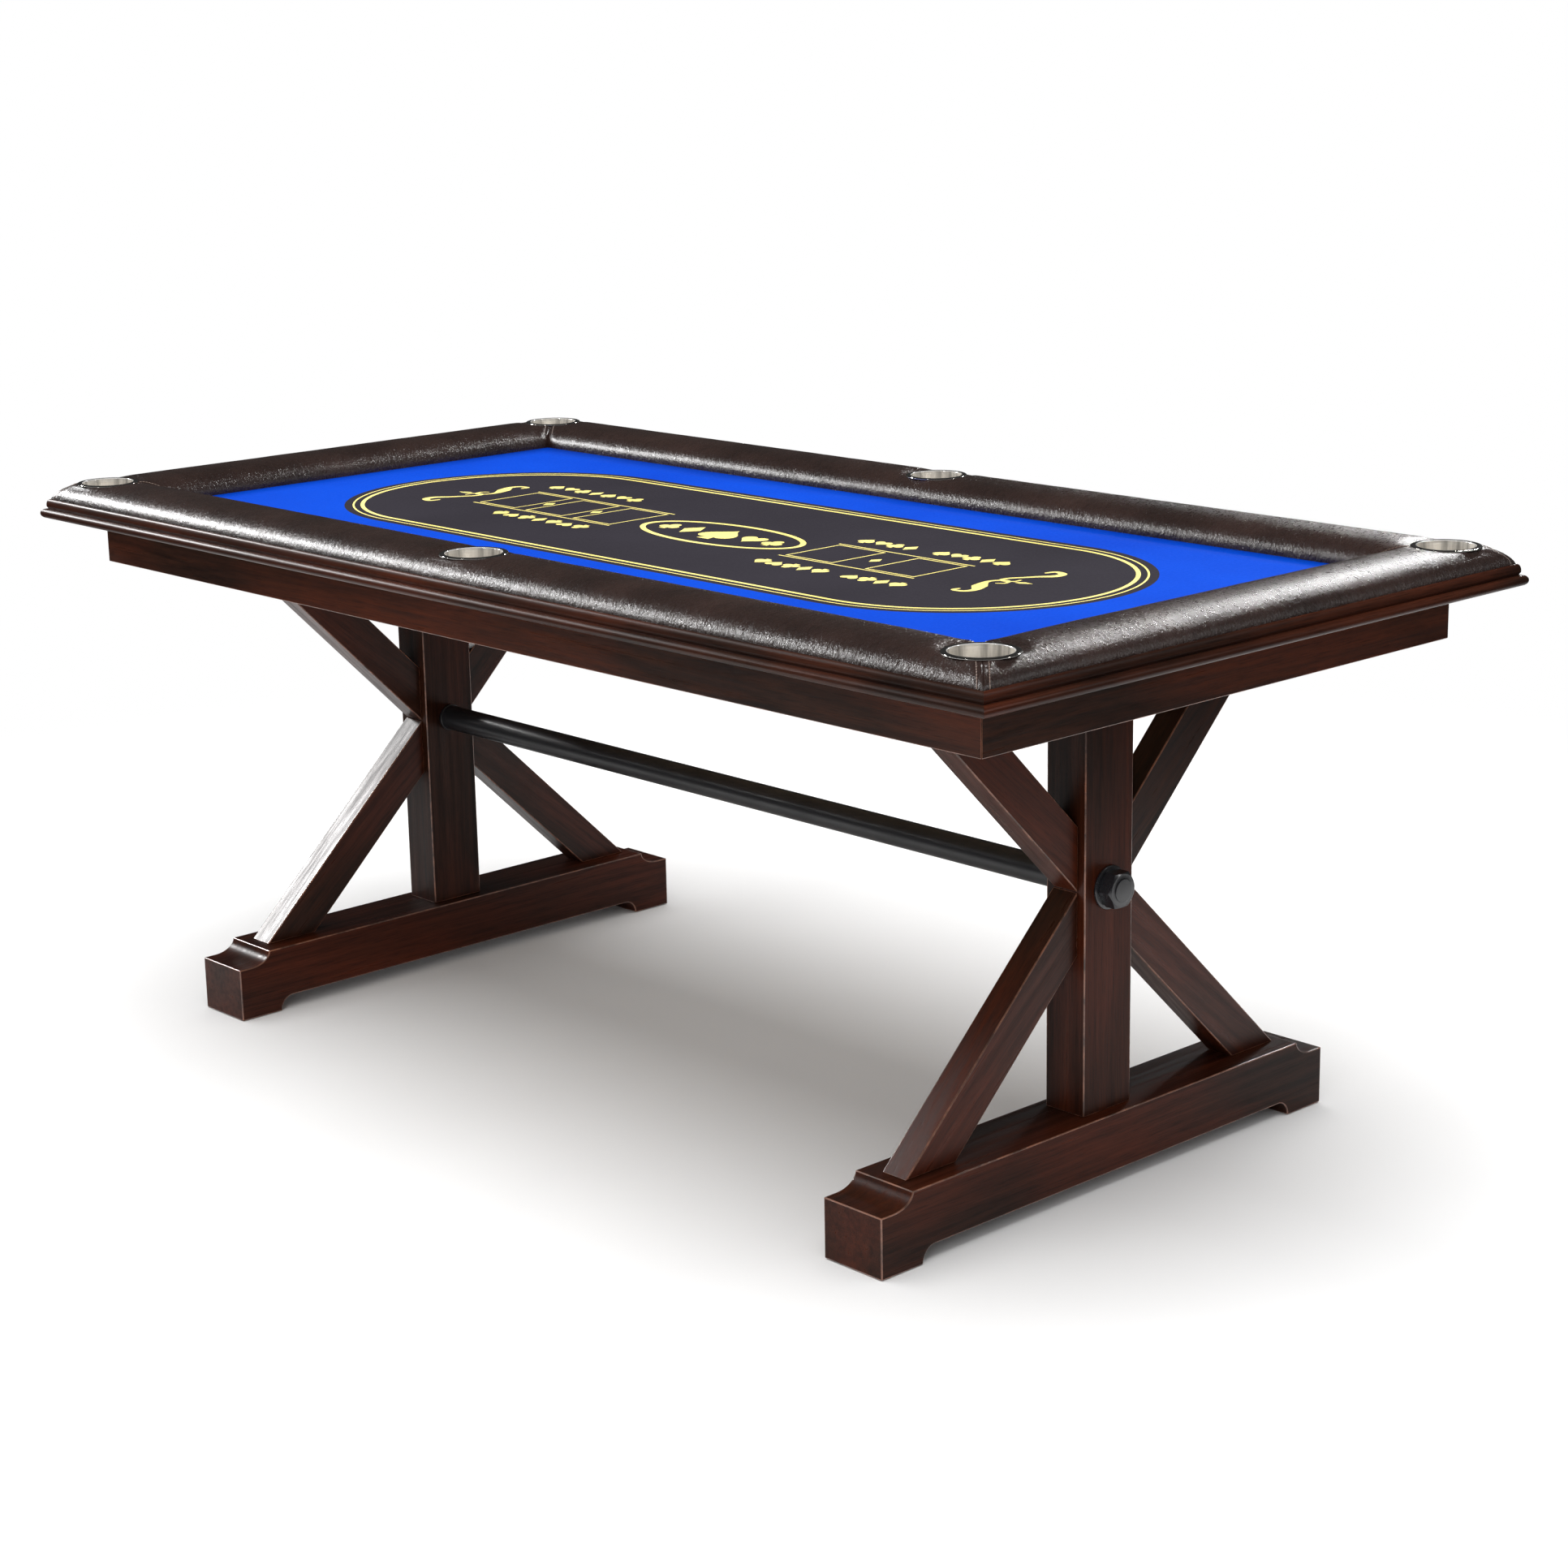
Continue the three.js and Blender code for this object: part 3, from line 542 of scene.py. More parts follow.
def foot_beam(end):
    """The foot with its coves drawn fine, and its arrises eased."""
    node = f"{end}_foot_beam"
    lo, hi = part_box(node)
    verts, faces = extruded(foot_outline(hi.y, lo.z, hi.z), lo.x, hi.x)
    obj = solid(f"eased_{node}", verts, faces, [LEG_Y, WORN_ARRIS_WITH_HIGHLIGHT])
    bm = bmesh.new()
    bm.from_mesh(obj.data)
    eased(bm, 40, EASING, 1)
    bm.to_mesh(obj.data)
    bm.free()
    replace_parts(weighted(obj), node)


BRACE_OVERLAP = 40 * MM  # upright share of a brace's width, which its box has on top of its rise


def brace(end, kind, way):
    """A brace with its grain along it."""
    node = f"{end}_{kind}_brace_{way}"
    lo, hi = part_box(node)
    lean = math.atan2(hi.z - lo.z - BRACE_OVERLAP, hi.y - lo.y)
    falls = (kind == "lower") == (way == "back")
    grain = brace_wood(f"espresso_{kind}_{way}_{end}", -lean if falls else lean)
    dressed(node, [grain, WORN_ARRIS_WITH_HIGHLIGHT], EASING)


for end in ("left", "right"):
    foot_beam(end)
    dressed(f"{end}_post", [LEG_Z, WORN_ARRIS_WITH_HIGHLIGHT], EASING, sharpest=60)
    dressed(f"{end}_top_bearer", [LEG_Y, WORN_ARRIS_WITH_HIGHLIGHT], EASING, sharpest=60)
    for way in LONG:
        brace(end, "lower", way)
        brace(end, "upper", way)
    dressed(f"cross_rail_{end}", [PINE_Y, PINE_Y], 1.0 * MM, sharpest=60)
for corner in CORNERS:
    dressed(f"corner_block_{corner}", [PINE_X, PINE_X], 1.0 * MM)


# ---- Stretcher, nuts, bolts and glides ----
COLLAR_WIDTH, COLLAR_RISE, TUBE_WALL = 4.5 * MM, 1.5 * MM, 2.0 * MM
ROD_HOLE = 8.7 * MM  # radius of the hole for the tie rod in a washer
NUT_FLAT, NUT_TALL = 21 * MM, 19 * MM  # from the nut's axis to a flat, and along its axis


def along_x(name, verts, faces, material, at, towards=1):
    """A steel piece made about Z, laid along X with its top towards +X or -X."""
    lay = Matrix.Rotation(math.pi / 2 * towards, 4, "Y")
    return solid(name, verts, faces, [material], at=at, turn=lay)


def stretcher_tube():
    lo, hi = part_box("stretcher_tube")
    half, ring = hi.x, (hi.z - lo.z) / 2
    outer = ring - COLLAR_RISE
    collar = half - COLLAR_WIDTH
    end = [
        (outer - TUBE_WALL, half), (ring - 0.5 * MM, half),
        (ring, half - 0.5 * MM), (ring, collar + 0.6 * MM),
        (ring - 0.4 * MM, collar + 0.1 * MM), (outer + 0.3 * MM, collar), (outer, collar - 0.8 * MM),
    ]
    profile = [(r, -z) for r, z in end] + [(outer, z) for z in np.linspace(-half * 0.98, half * 0.98, 9)]
    profile += end[::-1] + [(end[0][0], -end[0][1])]
    verts, faces = lathe(profile, 64)
    tube = along_x("satin_stretcher_tube", verts, faces, TUBE_BLACK, (0, 0, (lo.z + hi.z) / 2))
    mark_sharp(tube, 50)
    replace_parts(tube, "stretcher_tube")


def inner_face(node, way):
    """The middle of the face that a washer or nut turns towards the post."""
    lo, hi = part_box(node)
    return lo.x if way > 0 else hi.x, 0, (lo.z + hi.z) / 2


def washer(end, way):
    node = f"{end}_washer"
    lo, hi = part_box(node)
    radius, thick = (hi.z - lo.z) / 2, hi.x - lo.x
    profile = [
        (ROD_HOLE, 0), (radius - 0.3 * MM, 0), (radius, 0.4 * MM), (radius, thick - 0.7 * MM),
        (radius - 0.25 * MM, thick - 0.2 * MM), (radius - 0.7 * MM, thick), (ROD_HOLE, thick), (ROD_HOLE, 0),
    ]
    verts, faces = lathe(profile, 64)
    obj = along_x(f"turned_{node}", verts, faces, NUT_BLACK, inner_face(node, way), way)
    mark_sharp(obj, 50)
    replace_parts(obj, node)


def cap_nut(end, way):
    """A chamfered hexagon with a raised disc on its closed end."""
    node = f"{end}_cap_nut"
    sides = 96
    angles = [2 * math.pi * k / sides for k in range(sides)]
    wedges = [(a - math.pi / 2) % (math.pi / 3) - math.pi / 6 for a in angles]
    hexagon = [NUT_FLAT / math.cos(w) for w in wedges]
    chamfer = [max(0.0, r - NUT_FLAT + 0.8 * MM) * 0.62 for r in hexagon]
    rows = [
        [(8.6 * MM, 0.0)] * sides,
        [(min(r, NUT_FLAT + 0.4 * MM), 0.0) for r in hexagon],
        list(zip(hexagon, chamfer)),
        [(r, NUT_TALL - c) for r, c in zip(hexagon, chamfer)],
        [(NUT_FLAT - 0.8 * MM, NUT_TALL)] * sides,
    ]
    for radius, rise in ((15, 0), (14.5, 0.15), (14.4, 1.2), (14, 1.55), (13.3, 1.6), (0.02, 1.75)):
        rows.append([(radius * MM, NUT_TALL + rise * MM)] * sides)
    verts = [(r * math.cos(a), r * math.sin(a), z) for row in rows for a, (r, z) in zip(angles, row)]
    faces = []
    for i in range(len(rows) - 1):
        for k in range(sides):
            n = (k + 1) % sides
            faces.append([i * sides + k, i * sides + n, (i + 1) * sides + n, (i + 1) * sides + k])
    faces.append([(len(rows) - 1) * sides + k for k in range(sides)])
    obj = along_x(f"chamfered_{node}", verts, faces, NUT_BLACK, inner_face(node, way), way)
    mark_sharp(obj, 26)
    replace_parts(obj, node)


def glide(node):
    """A nylon glide, with a soft edge where it meets the floor."""
    lo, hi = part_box(node)
    radius, tall = (hi.x - lo.x) / 2, hi.z - lo.z
    profile = [
        (0, 0), (radius - 2.4 * MM, 0), (radius - 1.0 * MM, 0.35 * MM), (radius - 0.2 * MM, 1.2 * MM),
        (radius, 2.0 * MM), (radius, tall), (0, tall),
    ]
    verts, faces = lathe(profile, 48)
    middle = ((lo.x + hi.x) / 2, (lo.y + hi.y) / 2, lo.z)
    obj = solid(f"moulded_{node}", verts, faces, [NYLON], at=middle)
    mark_sharp(obj, 40)
    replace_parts(obj, node)


stretcher_tube()
for end, way in (("right", 1), ("left", -1)):
    washer(end, way)
    cap_nut(end, way)
    for place in LONG:
        glide(f"{end}_glide_{place}")
        dressed(f"{end}_bearer_bolt_{place}", [NUT_BLACK, NUT_BLACK], 0.6 * MM, sharpest=50)


# ---- Cups ----
CUP_MOUTH, CUP_FLOOR, CUP_WALL = 35.5 * MM, 33 * MM, 1 * MM  # two radii, and the sheet's thickness
CUP_SIDES = 96


def cup_profile(deep):
    """(radius, z) from under the floor, up the outside, over the rolled flange and down inside, in three."""
    outside = [(0, -deep), (CUP_FLOOR - 2 * MM, -deep), (CUP_FLOOR - 0.5 * MM, 0.6 * MM - deep)]
    outside.append((CUP_FLOOR, 2.2 * MM - deep))
    edge, mouth = CUP_RADIUS, CUP_MOUTH
    rolled = [
        (mouth + CUP_WALL, -1.75 * MM), (edge - 0.9 * MM, -1.8 * MM), (edge - 0.15 * MM, -1.35 * MM),
        (edge, -0.95 * MM), (edge - 0.2 * MM, -0.45 * MM), (edge - 0.8 * MM, -0.10 * MM),
        (edge - 1.8 * MM, 0.0), (edge - 3.6 * MM, -0.05 * MM), (mouth + 2.6 * MM, -0.12 * MM),
        (mouth + 1.4 * MM, -0.10 * MM), (mouth + 0.7 * MM, 0.0), (mouth + 0.15 * MM, -0.25 * MM),
        (mouth, -0.9 * MM),
    ]
    narrows, falls = mouth - CUP_FLOOR + CUP_WALL, deep - 5.2 * MM
    inside = [(mouth - 0.05 * MM - narrows * t, -0.9 * MM - falls * t) for t in (0.12, 0.4, 0.7, 1.0)]
    r, z = inside[-1]
    floor = CUP_WALL - deep
    inside += [(r - 0.4 * MM, z - 1.7 * MM), (r - 1.6 * MM, z - 2.8 * MM), (r - 3.2 * MM, floor)]
    inside += [(r - 7 * MM, floor), (r - 8 * MM, floor + 0.5 * MM), (r - 9 * MM, floor), (0, floor)]
    return outside, rolled, inside


def cup(name):
    """A pressed steel cup: polished outside, brushed inside, with a painted highlight on its rolled edge and
    its mouth lip.
    """
    node = f"cup_{name}"
    lo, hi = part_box(node)
    outside, rolled, inside = cup_profile(hi.z - lo.z)
    verts, faces = lathe(outside + rolled + inside, CUP_SIDES)
    materials = [BRUSHED, POLISHED, PAINTED_HIGHLIGHT_STEEL]
    obj = solid(f"pressed_{node}", verts, faces, materials, f"{node}_body", CUP_AT[name])
    # The mouth lip and the underside of the rolled edge are near-white: a painted highlight.
    lip = len(outside) + len(rolled) - 3
    rim = (len(outside) + 1, len(outside) + 2)
    for polygon in obj.data.polygons:
        strip = polygon.index // CUP_SIDES
        if strip > lip + 1:
            polygon.material_index = 0
        else:
            polygon.material_index = 2 if strip >= lip or strip in rim else 1
    mark_sharp(obj, 60)
    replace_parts(obj, node)


for name in CUP_AT:
    cup(name)


# ---- Leather rail pads ----
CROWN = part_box("rail_pad_front")[1].z
PAD_OUT = {side: side_frame(side)[0] - 11.5 * MM for side in SIDES}
PAD_WIDE = 120 * MM
PAD_BASE = 729 * MM  # where the crown springs from
FLAP_FOOT = 710 * MM  # the inner flap's lower edge
SEAT = CUP_AT["front"].z - 1.9 * MM  # the leather under a cup's flange
HOLE = 38.2 * MM


def pad_section():
    """(across, rise) over the crown, from its outer edge at -1 to its inner edge at 1."""
    steps = 30
    across = [-math.cos(math.pi * i / steps) for i in range(steps + 1)]
    return [(a, max(0.0, 1 - abs(a) ** 2.25) ** 0.5) for a in across]


def pad_stations(side):
    """Where the columns stand along a run, from -1 to 1: evenly, and ever closer together by the mitres."""
    half = run_half(side, PAD_OUT[side] - PAD_WIDE / 2)
    near = [0, 0.7, 1.4, 2.2, 3.2, 4.4, 5.8, 7.4, 9.2, 11.2]
    near += [13.6, 16.4, 19.6, 23.2, 27.2, 31.6, 36.4, 41.6, 47.2]
    near = [1 - d * MM / half for d in near]
    middle = np.linspace(-near[-1], near[-1], int(2 * near[-1] * half / (6.2 * MM)) + 1)[1:-1]
    return np.array([-s for s in near] + list(middle) + near[::-1])


def surface_height(rise, from_mitre, reach_cup):
    """The leather's height from its share of the crown, with the corners softer and a dish round each cup."""
    crown = CROWN - PAD_BASE - 1.2 * MM * (1 - smooth(0, 70 * MM, from_mitre)) - 2.6 * MM
    z = PAD_BASE + crown * rise
    dish = 1 - smooth(CUP_RADIUS - 0.5 * MM, CUP_RADIUS + 15 * MM, reach_cup)
    return z + (SEAT - z) * dish * (z > SEAT - 3 * MM)


def cup_reach(points):
    """How far each point lies from the axis of the nearest cup."""
    return np.min([np.hypot(points[:, 0] - c.x, points[:, 1] - c.y) for c in CUP_AT.values()], axis=0)


def nearest_cup(point):
    return min(CUP_AT.values(), key=lambda c: math.hypot(point[0] - c.x, point[1] - c.y))


def pad_grid(side):
    """The crown's points, column by column along the run, and how many stand in a column."""
    world = side_frame(side)[1]
    stations, section = pad_stations(side), pad_section()
    outs = np.array([PAD_OUT[side] - PAD_WIDE / 2 * (1 + across) for across, _ in section])
    halves = np.array([run_half(side, out) for out in outs])
    points = np.array([
        world(out, s * (half - 0.25 * MM), rise)
        for s in stations for out, half, (_, rise) in zip(outs, halves, section)
    ])
    from_mitre = ((1 - np.abs(stations))[:, None] * halves[None, :]).reshape(-1) * math.cos(math.pi / 4)
    points[:, 2] = surface_height(points[:, 2].copy(), from_mitre, cup_reach(points))
    return points, len(section)


def pad_sheet(side):
    """The crown as a sheet, with its hole edges drawn to round holes under the cups' flanges."""
    points, rows = pad_grid(side)
    reach = cup_reach(points)
    bm = bmesh.new()
    verts = [bm.verts.new(p) for p in points]
    for i in range(len(points) // rows - 1):
        for j in range(rows - 1):
            quad = [i * rows + j, i * rows + j + 1, (i + 1) * rows + j + 1, (i + 1) * rows + j]
            if max(reach[quad]) > HOLE and np.mean(reach[quad]) > HOLE - 1.2 * MM:
                bm.faces.new([verts[q] for q in quad])
    bmesh.ops.delete(bm, geom=[v for v in bm.verts if not v.link_faces], context="VERTS")
    for v in bm.verts:
        centre = nearest_cup(v.co)
        offset = Vector((v.co.x - centre.x, v.co.y - centre.y))
        if v.is_boundary and 0 < offset.length < HOLE + 7 * MM:
            offset = offset.normalized() * HOLE
            v.co = Vector((centre.x + offset.x, centre.y + offset.y, SEAT))
    bmesh.ops.recalc_face_normals(bm, faces=bm.faces)
    if sum(f.normal.z * f.calc_area() for f in bm.faces) < 0:
        bmesh.ops.reverse_faces(bm, faces=bm.faces)
    mesh = bpy.data.meshes.new(f"leather_pad_{side}")
    bm.to_mesh(mesh)
    bm.free()
    return mesh


def leather_pad(side):
    """A padded run of the rail: a crowned sheet, shaped in code, subdivided and shut underneath."""
    mesh = pad_sheet(side)
    obj = placed(mesh.name, mesh, [LEATHER_X if side in LONG else LEATHER_Y])
    shape_leather(obj, side)
    subdivide = obj.modifiers.new("smooth", "SUBSURF")
    subdivide.levels = subdivide.render_levels = 1
    subdivide.boundary_smooth = "PRESERVE_CORNERS"
    applied(obj)
    close_pad(obj, side)
    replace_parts(obj, f"rail_pad_{side}")
    return obj


def shape_leather(obj, side):
    """The crease and flat band along each mitre, a soft unevenness, and pulls towards the cups."""
    mesh = obj.data
    co = np.array([v.co for v in mesh.vertices])
    length, width = TABLE_HALF
    corner = np.abs(np.abs(co[:, 0]) - length - (np.abs(co[:, 1]) - width)) * math.cos(math.pi / 4)
    cups = cup_reach(co)
    free = smooth(PAD_BASE, PAD_BASE + 12 * MM, co[:, 2]) * smooth(HOLE, CUP_RADIUS + 3 * MM, cups)
    crease = 1.1 * MM * np.exp(-((corner / (1.1 * MM)) ** 2))
    band = 0.6 * MM * (1 - smooth(5.5 * MM, 7.6 * MM, corner))
    bulge = 0.8 * MM * np.exp(-(((corner - 11 * MM) / (4.5 * MM)) ** 2))
    co[:, 2] += (bulge - crease - band) * free
    for k, (x, y, _) in enumerate(co):
        centre = nearest_cup((x, y))
        angle = math.atan2(y - centre.y, x - centre.x)
        near = math.exp(-(((cups[k] - CUP_RADIUS) / (26 * MM)) ** 2))
        spokes = Vector((math.cos(angle) * 5, math.sin(angle) * 5, centre.x + centre.y))
        uneven = 0.22 * MM * noise.noise(Vector((x * 9, y * 9, 3.1)))
        uneven += 0.12 * MM * noise.noise(Vector((x * 26, y * 26, 7.7)))
        uneven += 0.30 * MM * noise.noise(spokes) * near
        uneven += 0.16 * MM * noise.noise(Vector(((x if side in LONG else y) * 70, side in LONG, 1.5)))
        co[k, 2] += uneven * free[k]
    co[:, 2] = np.minimum(co[:, 2], CROWN + 1.5 * MM)
    mesh.vertices.foreach_set("co", co.astype(np.float32).ravel())
    mesh.update()


def close_pad(obj, side):
    """Takes the leather down to the wooden core on both edges and round each hole, and shuts it below."""
    bm = bmesh.new()
    bm.from_mesh(obj.data)
    wall = bmesh.ops.extrude_edge_only(bm, edges=[e for e in bm.edges if e.is_boundary])
    feet = [g for g in wall["geom"] if isinstance(g, bmesh.types.BMVert)]
    turn = Matrix.Rotation(-SIDES[side], 3, "Z")
    for v in feet:
        inner = abs((turn @ v.co).x - (PAD_OUT[side] - PAD_WIDE)) < 0.4 * MM
        v.co.z = FLAP_FOOT if inner else PAD_BASE + 0.4 * MM
    lower = list(dict.fromkeys(e for v in feet for e in v.link_edges if e.is_boundary))
    bmesh.ops.triangle_fill(bm, use_beauty=True, use_dissolve=False, edges=lower)
    bmesh.ops.recalc_face_normals(bm, faces=bm.faces)
    bm.to_mesh(obj.data)
    bm.free()
    obj.data.polygons.foreach_set("use_smooth", [True] * len(obj.data.polygons))
    mark_sharp(obj, 62)


PADS = [leather_pad(side) for side in SIDES]


# ---- Stitched seams across the corners ----
STITCH, STITCH_PITCH = 3.3 * MM, 4.3 * MM
ROW_OFFSET = 6.6 * MM  # each row of stitches from the mitre
SEAM_REACH = 83.5 * MM  # from a corner cup's middle to the leather's edges, along the mitre
LOWEST_STITCH = 716 * MM


def stitch(start, end, up):
    """Rings of points along one stitch: a plump thread that dips into the leather at both ends."""
    ring, rounds = 8, 6
    sideways = up.cross((end - start).normalized()).normalized()
    verts, faces = [], []
    for r in range(rounds + 1):
        t = r / rounds
        swell = max(0.05, math.sin(math.pi * (0.08 + 0.84 * t))) ** 0.6
        middle = start.lerp(end, t) + up * (0.16 * MM * swell)
        for k in range(ring):
            angle = 2 * math.pi * k / ring
            around = sideways * math.cos(angle) * 0.52 * MM + up * math.sin(angle) * 0.42 * MM
            verts.append(middle + around * swell)
    for r in range(rounds):
        for k in range(ring):
            a, b = r * ring + k, r * ring + (k + 1) % ring
            faces.append([a, b, b + ring, a + ring])
    faces.append(list(range(ring))[::-1])
    faces.append([rounds * ring + k for k in range(ring)])
    return verts, faces


def stitched_seam(name, surface):
    """Two rows of stitches along a corner's mitre, on both sides of its cup."""
    centre = CUP_AT[name]
    outwards = Vector((math.copysign(1, centre.x), math.copysign(1, centre.y), 0)).normalized()
    across = Vector((-outwards.y, outwards.x, 0))
    verts, faces = [], []
    for way in (1, -1):
        for offset in (-ROW_OFFSET, ROW_OFFSET):
            reach = CUP_RADIUS + 1.4 * MM
            while reach < SEAM_REACH - ROW_OFFSET:
                places = [centre + outwards * (d * way) + across * offset for d in (reach, reach + STITCH)]
                hits = [hit for hit in map(surface, places) if hit and hit[0].z > LOWEST_STITCH]
                length = STITCH
                if len(hits) == 2:
                    (start, start_up), (end, end_up) = hits
                    length = max(STITCH, (end - start).length)
                    points, quads = stitch(start, end, (start_up + end_up).normalized())
                    faces += [[len(verts) + i for i in quad] for quad in quads]
                    verts += points
                reach += STITCH_PITCH * STITCH / length
    solid(f"seam_stitches_{name}", verts, faces, [THREAD])


def stitches():
    trees = [BVHTree.FromObject(pad, bpy.context.evaluated_depsgraph_get()) for pad in PADS]

    def surface(at):
        """The leather's point and normal under a place, seen from above."""
        hits = [tree.ray_cast(Vector((at.x, at.y, 1.0)), Vector((0, 0, -1))) for tree in trees]
        hits = [hit[:2] for hit in hits if hit[0] is not None]
        return max(hits, key=lambda hit: hit[0].z) if hits else None

    for name in CORNERS:
        stitched_seam(name, surface)


stitches()


# ---- Playing cloth and its generic print ----
TRACK = (678.8 * MM, 243 * MM)  # half the printed track's length and width
OVAL_AT = (8 * MM, -6 * MM)
CARD_LINE, RULE_LINE = 2.6 * MM, 2.8 * MM
CLOTH_GRID = 50 * MM


def circle(x, y, rx, ry, n):
    angles = [2 * math.pi * i / n for i in range(n)]
    return [(x + rx * math.cos(a), y + ry * math.sin(a)) for a in angles]


def rectangle(x0, x1, y0, y1):
    return [(x0, y0), (x1, y0), (x1, y1), (x0, y1)]


def track(inset):
    """A racetrack outline, two half rounds joined by straights, at an inset from the printed track's edge."""
    half, wide = (size - inset * MM for size in TRACK)
    straight = half - wide
    right = np.linspace(-math.pi / 2, math.pi / 2, 44)
    points = [(straight + wide * math.cos(a), wide * math.sin(a)) for a in right]
    return points + [(-x, -y) for x, y in points]


def heart(x, y, size, flip):
    points = []
    for i in range(36):
        t = 2 * math.pi * i / 36
        across = 16 * math.sin(t) ** 3
        up = 13 * math.cos(t) - 5 * math.cos(2 * t) - 2 * math.cos(3 * t) - math.cos(4 * t)
        points.append((x + across / 34 * size, y + flip * (up + 2) / 34 * size))
    return points


def stem(x, y, size, flip):
    corners = ((-0.05, -0.1), (0.05, -0.1), (0.17, -0.52), (-0.17, -0.52))
    return [(x + a * size, y + flip * b * size) for a, b in corners]


def suit(kind, x, y, size, flip=1):
    """The closed outlines of one card suit's sign."""
    if kind == "diamond":
        return [[(x, y + size * 0.54), (x + size * 0.36, y), (x, y - size * 0.54), (x - size * 0.36, y)]]
    if kind == "heart":
        return [heart(x, y, size, flip)]
    if kind == "spade":
        return [heart(x, y + flip * 0.06 * size, size, -flip), stem(x, y, size, flip)]
    lobe = 0.235 * size
    lobes = ((0, 0.24), (-0.25, -0.10), (0.25, -0.10), (0, 0.0))
    leaves = [circle(x + a * size, y + flip * b * size, lobe, lobe, 24) for a, b in lobes]
    return [*leaves, stem(x, y, size, flip)]


def stroke(points, widths):
    """The outline of a tapering stroke along points."""
    left, right = [], []
    for i, (x, y) in enumerate(points):
        a, b = points[max(i - 1, 0)], points[min(i + 1, len(points) - 1)]
        length = math.hypot(b[0] - a[0], b[1] - a[1])
        nx, ny = -(b[1] - a[1]) / length, (b[0] - a[0]) / length
        left.append((x + nx * widths[i] / 2, y + ny * widths[i] / 2))
        right.append((x - nx * widths[i] / 2, y - ny * widths[i] / 2))
    return left + right[::-1]


def curve(points, widths, per=7):
    """A smooth curve through the points, with its width eased from one to the next."""
    ends = [points[0], *points, points[-1]]
    spine, wide = [], []
    for i in range(len(points) - 1):
        p0, p1, p2, p3 = (np.array(ends[i + k]) for k in range(4))
        for t in np.linspace(0, 1, per, endpoint=i == len(points) - 2):
            square, cube = 2 * p0 - 5 * p1 + 4 * p2 - p3, 3 * p1 - p0 - 3 * p2 + p3
            spine.append(tuple(0.5 * (2 * p1 + (p2 - p0) * t + square * t * t + cube * t ** 3)))
            wide.append(widths[i] * (1 - t) + widths[i + 1] * t)
    return spine, wide


SCROLL_ARMS = (  # millimetres before scaling: (x, y) of each point, and the stroke's width there
    (
        (0, -15, 1.5), (8, -8, 2.4), (4, 3, 3), (-5, 4, 3), (-12, -6, 3.2), (-12, -18, 4.5),
        (-2, -38, 11), (9, -57, 5.5), (5, -71, 4), (-9, -73, 3.4), (-9, -62, 2.2),
    ),
    (
        (9, 18, 1.8), (9, 7, 2.4), (0, 1, 3), (-9, 5, 3.2), (-8, 17, 3.4), (1, 31, 3.6),
        (10, 45, 4.4), (22, 60, 6.5), (20, 75, 6), (6, 79, 4.2), (1, 66, 2.4),
    ),
)
SCROLL_LEAF = ((12, 3), (21, 1), (35, 9), (22, 11))
SCROLL_SIZE, STROKE_SIZE = 1.08, 1.8


def scroll(x, y, way):
    """A plain flourish of two hooked S-strokes that curl together at the middle, with one small leaf."""
    def place(point):
        return x + way * SCROLL_SIZE * point[0] * MM, y + way * SCROLL_SIZE * point[1] * MM

    shapes = []
    for arm in SCROLL_ARMS:
        spine, wide = curve([p[:2] for p in arm], [p[2] for p in arm])
        shapes.append(stroke([place(p) for p in spine], [STROKE_SIZE * w * MM for w in wide]))
    return [*shapes, [place(p) for p in SCROLL_LEAF]]


def cards(x0, x1, y0, y1, count, gap):
    """A row of card places between two rules: the outlines' (outer, inner) pairs, and the solid shapes."""
    width = (x1 - x0 - gap * (count - 1)) / count
    low, high = y0 + 7 * MM, y1 - 7 * MM
    rings, solids = [], []
    for k in range(count):
        left = x0 + k * (width + gap)
        right = left + width
        inner = rectangle(left + CARD_LINE, right - CARD_LINE, low + CARD_LINE, high - CARD_LINE)
        rings.append((rectangle(left, right, low, high), inner))
        if k:
            solids += suit("diamond", left - gap / 2, (y0 + y1) / 2, min(gap, 24 * MM) * 0.9)
    for y in (y0, y1 - RULE_LINE):
        solids.append(rectangle(x0 - 6 * MM, x1 + 6 * MM, y, y + RULE_LINE))
    return rings, solids


def pips(x, y, flip, groups):
    """A row of small suit signs, in groups, where the photographed table has words."""
    starts = [sum(groups[:g]) + 1.2 * g for g in range(len(groups))]
    places = [start + k for start, count in zip(starts, groups) for k in range(count)]
    pitch = (29 if len(groups) == 1 else 26) * MM
    shapes = []
    for k, place in enumerate(places):
        kind = ("spade", "heart", "club", "diamond")[k % 4]
        shapes += suit(kind, x * MM + (place - places[-1] / 2) * pitch, y * MM, 27 * MM, flip)
    return shapes


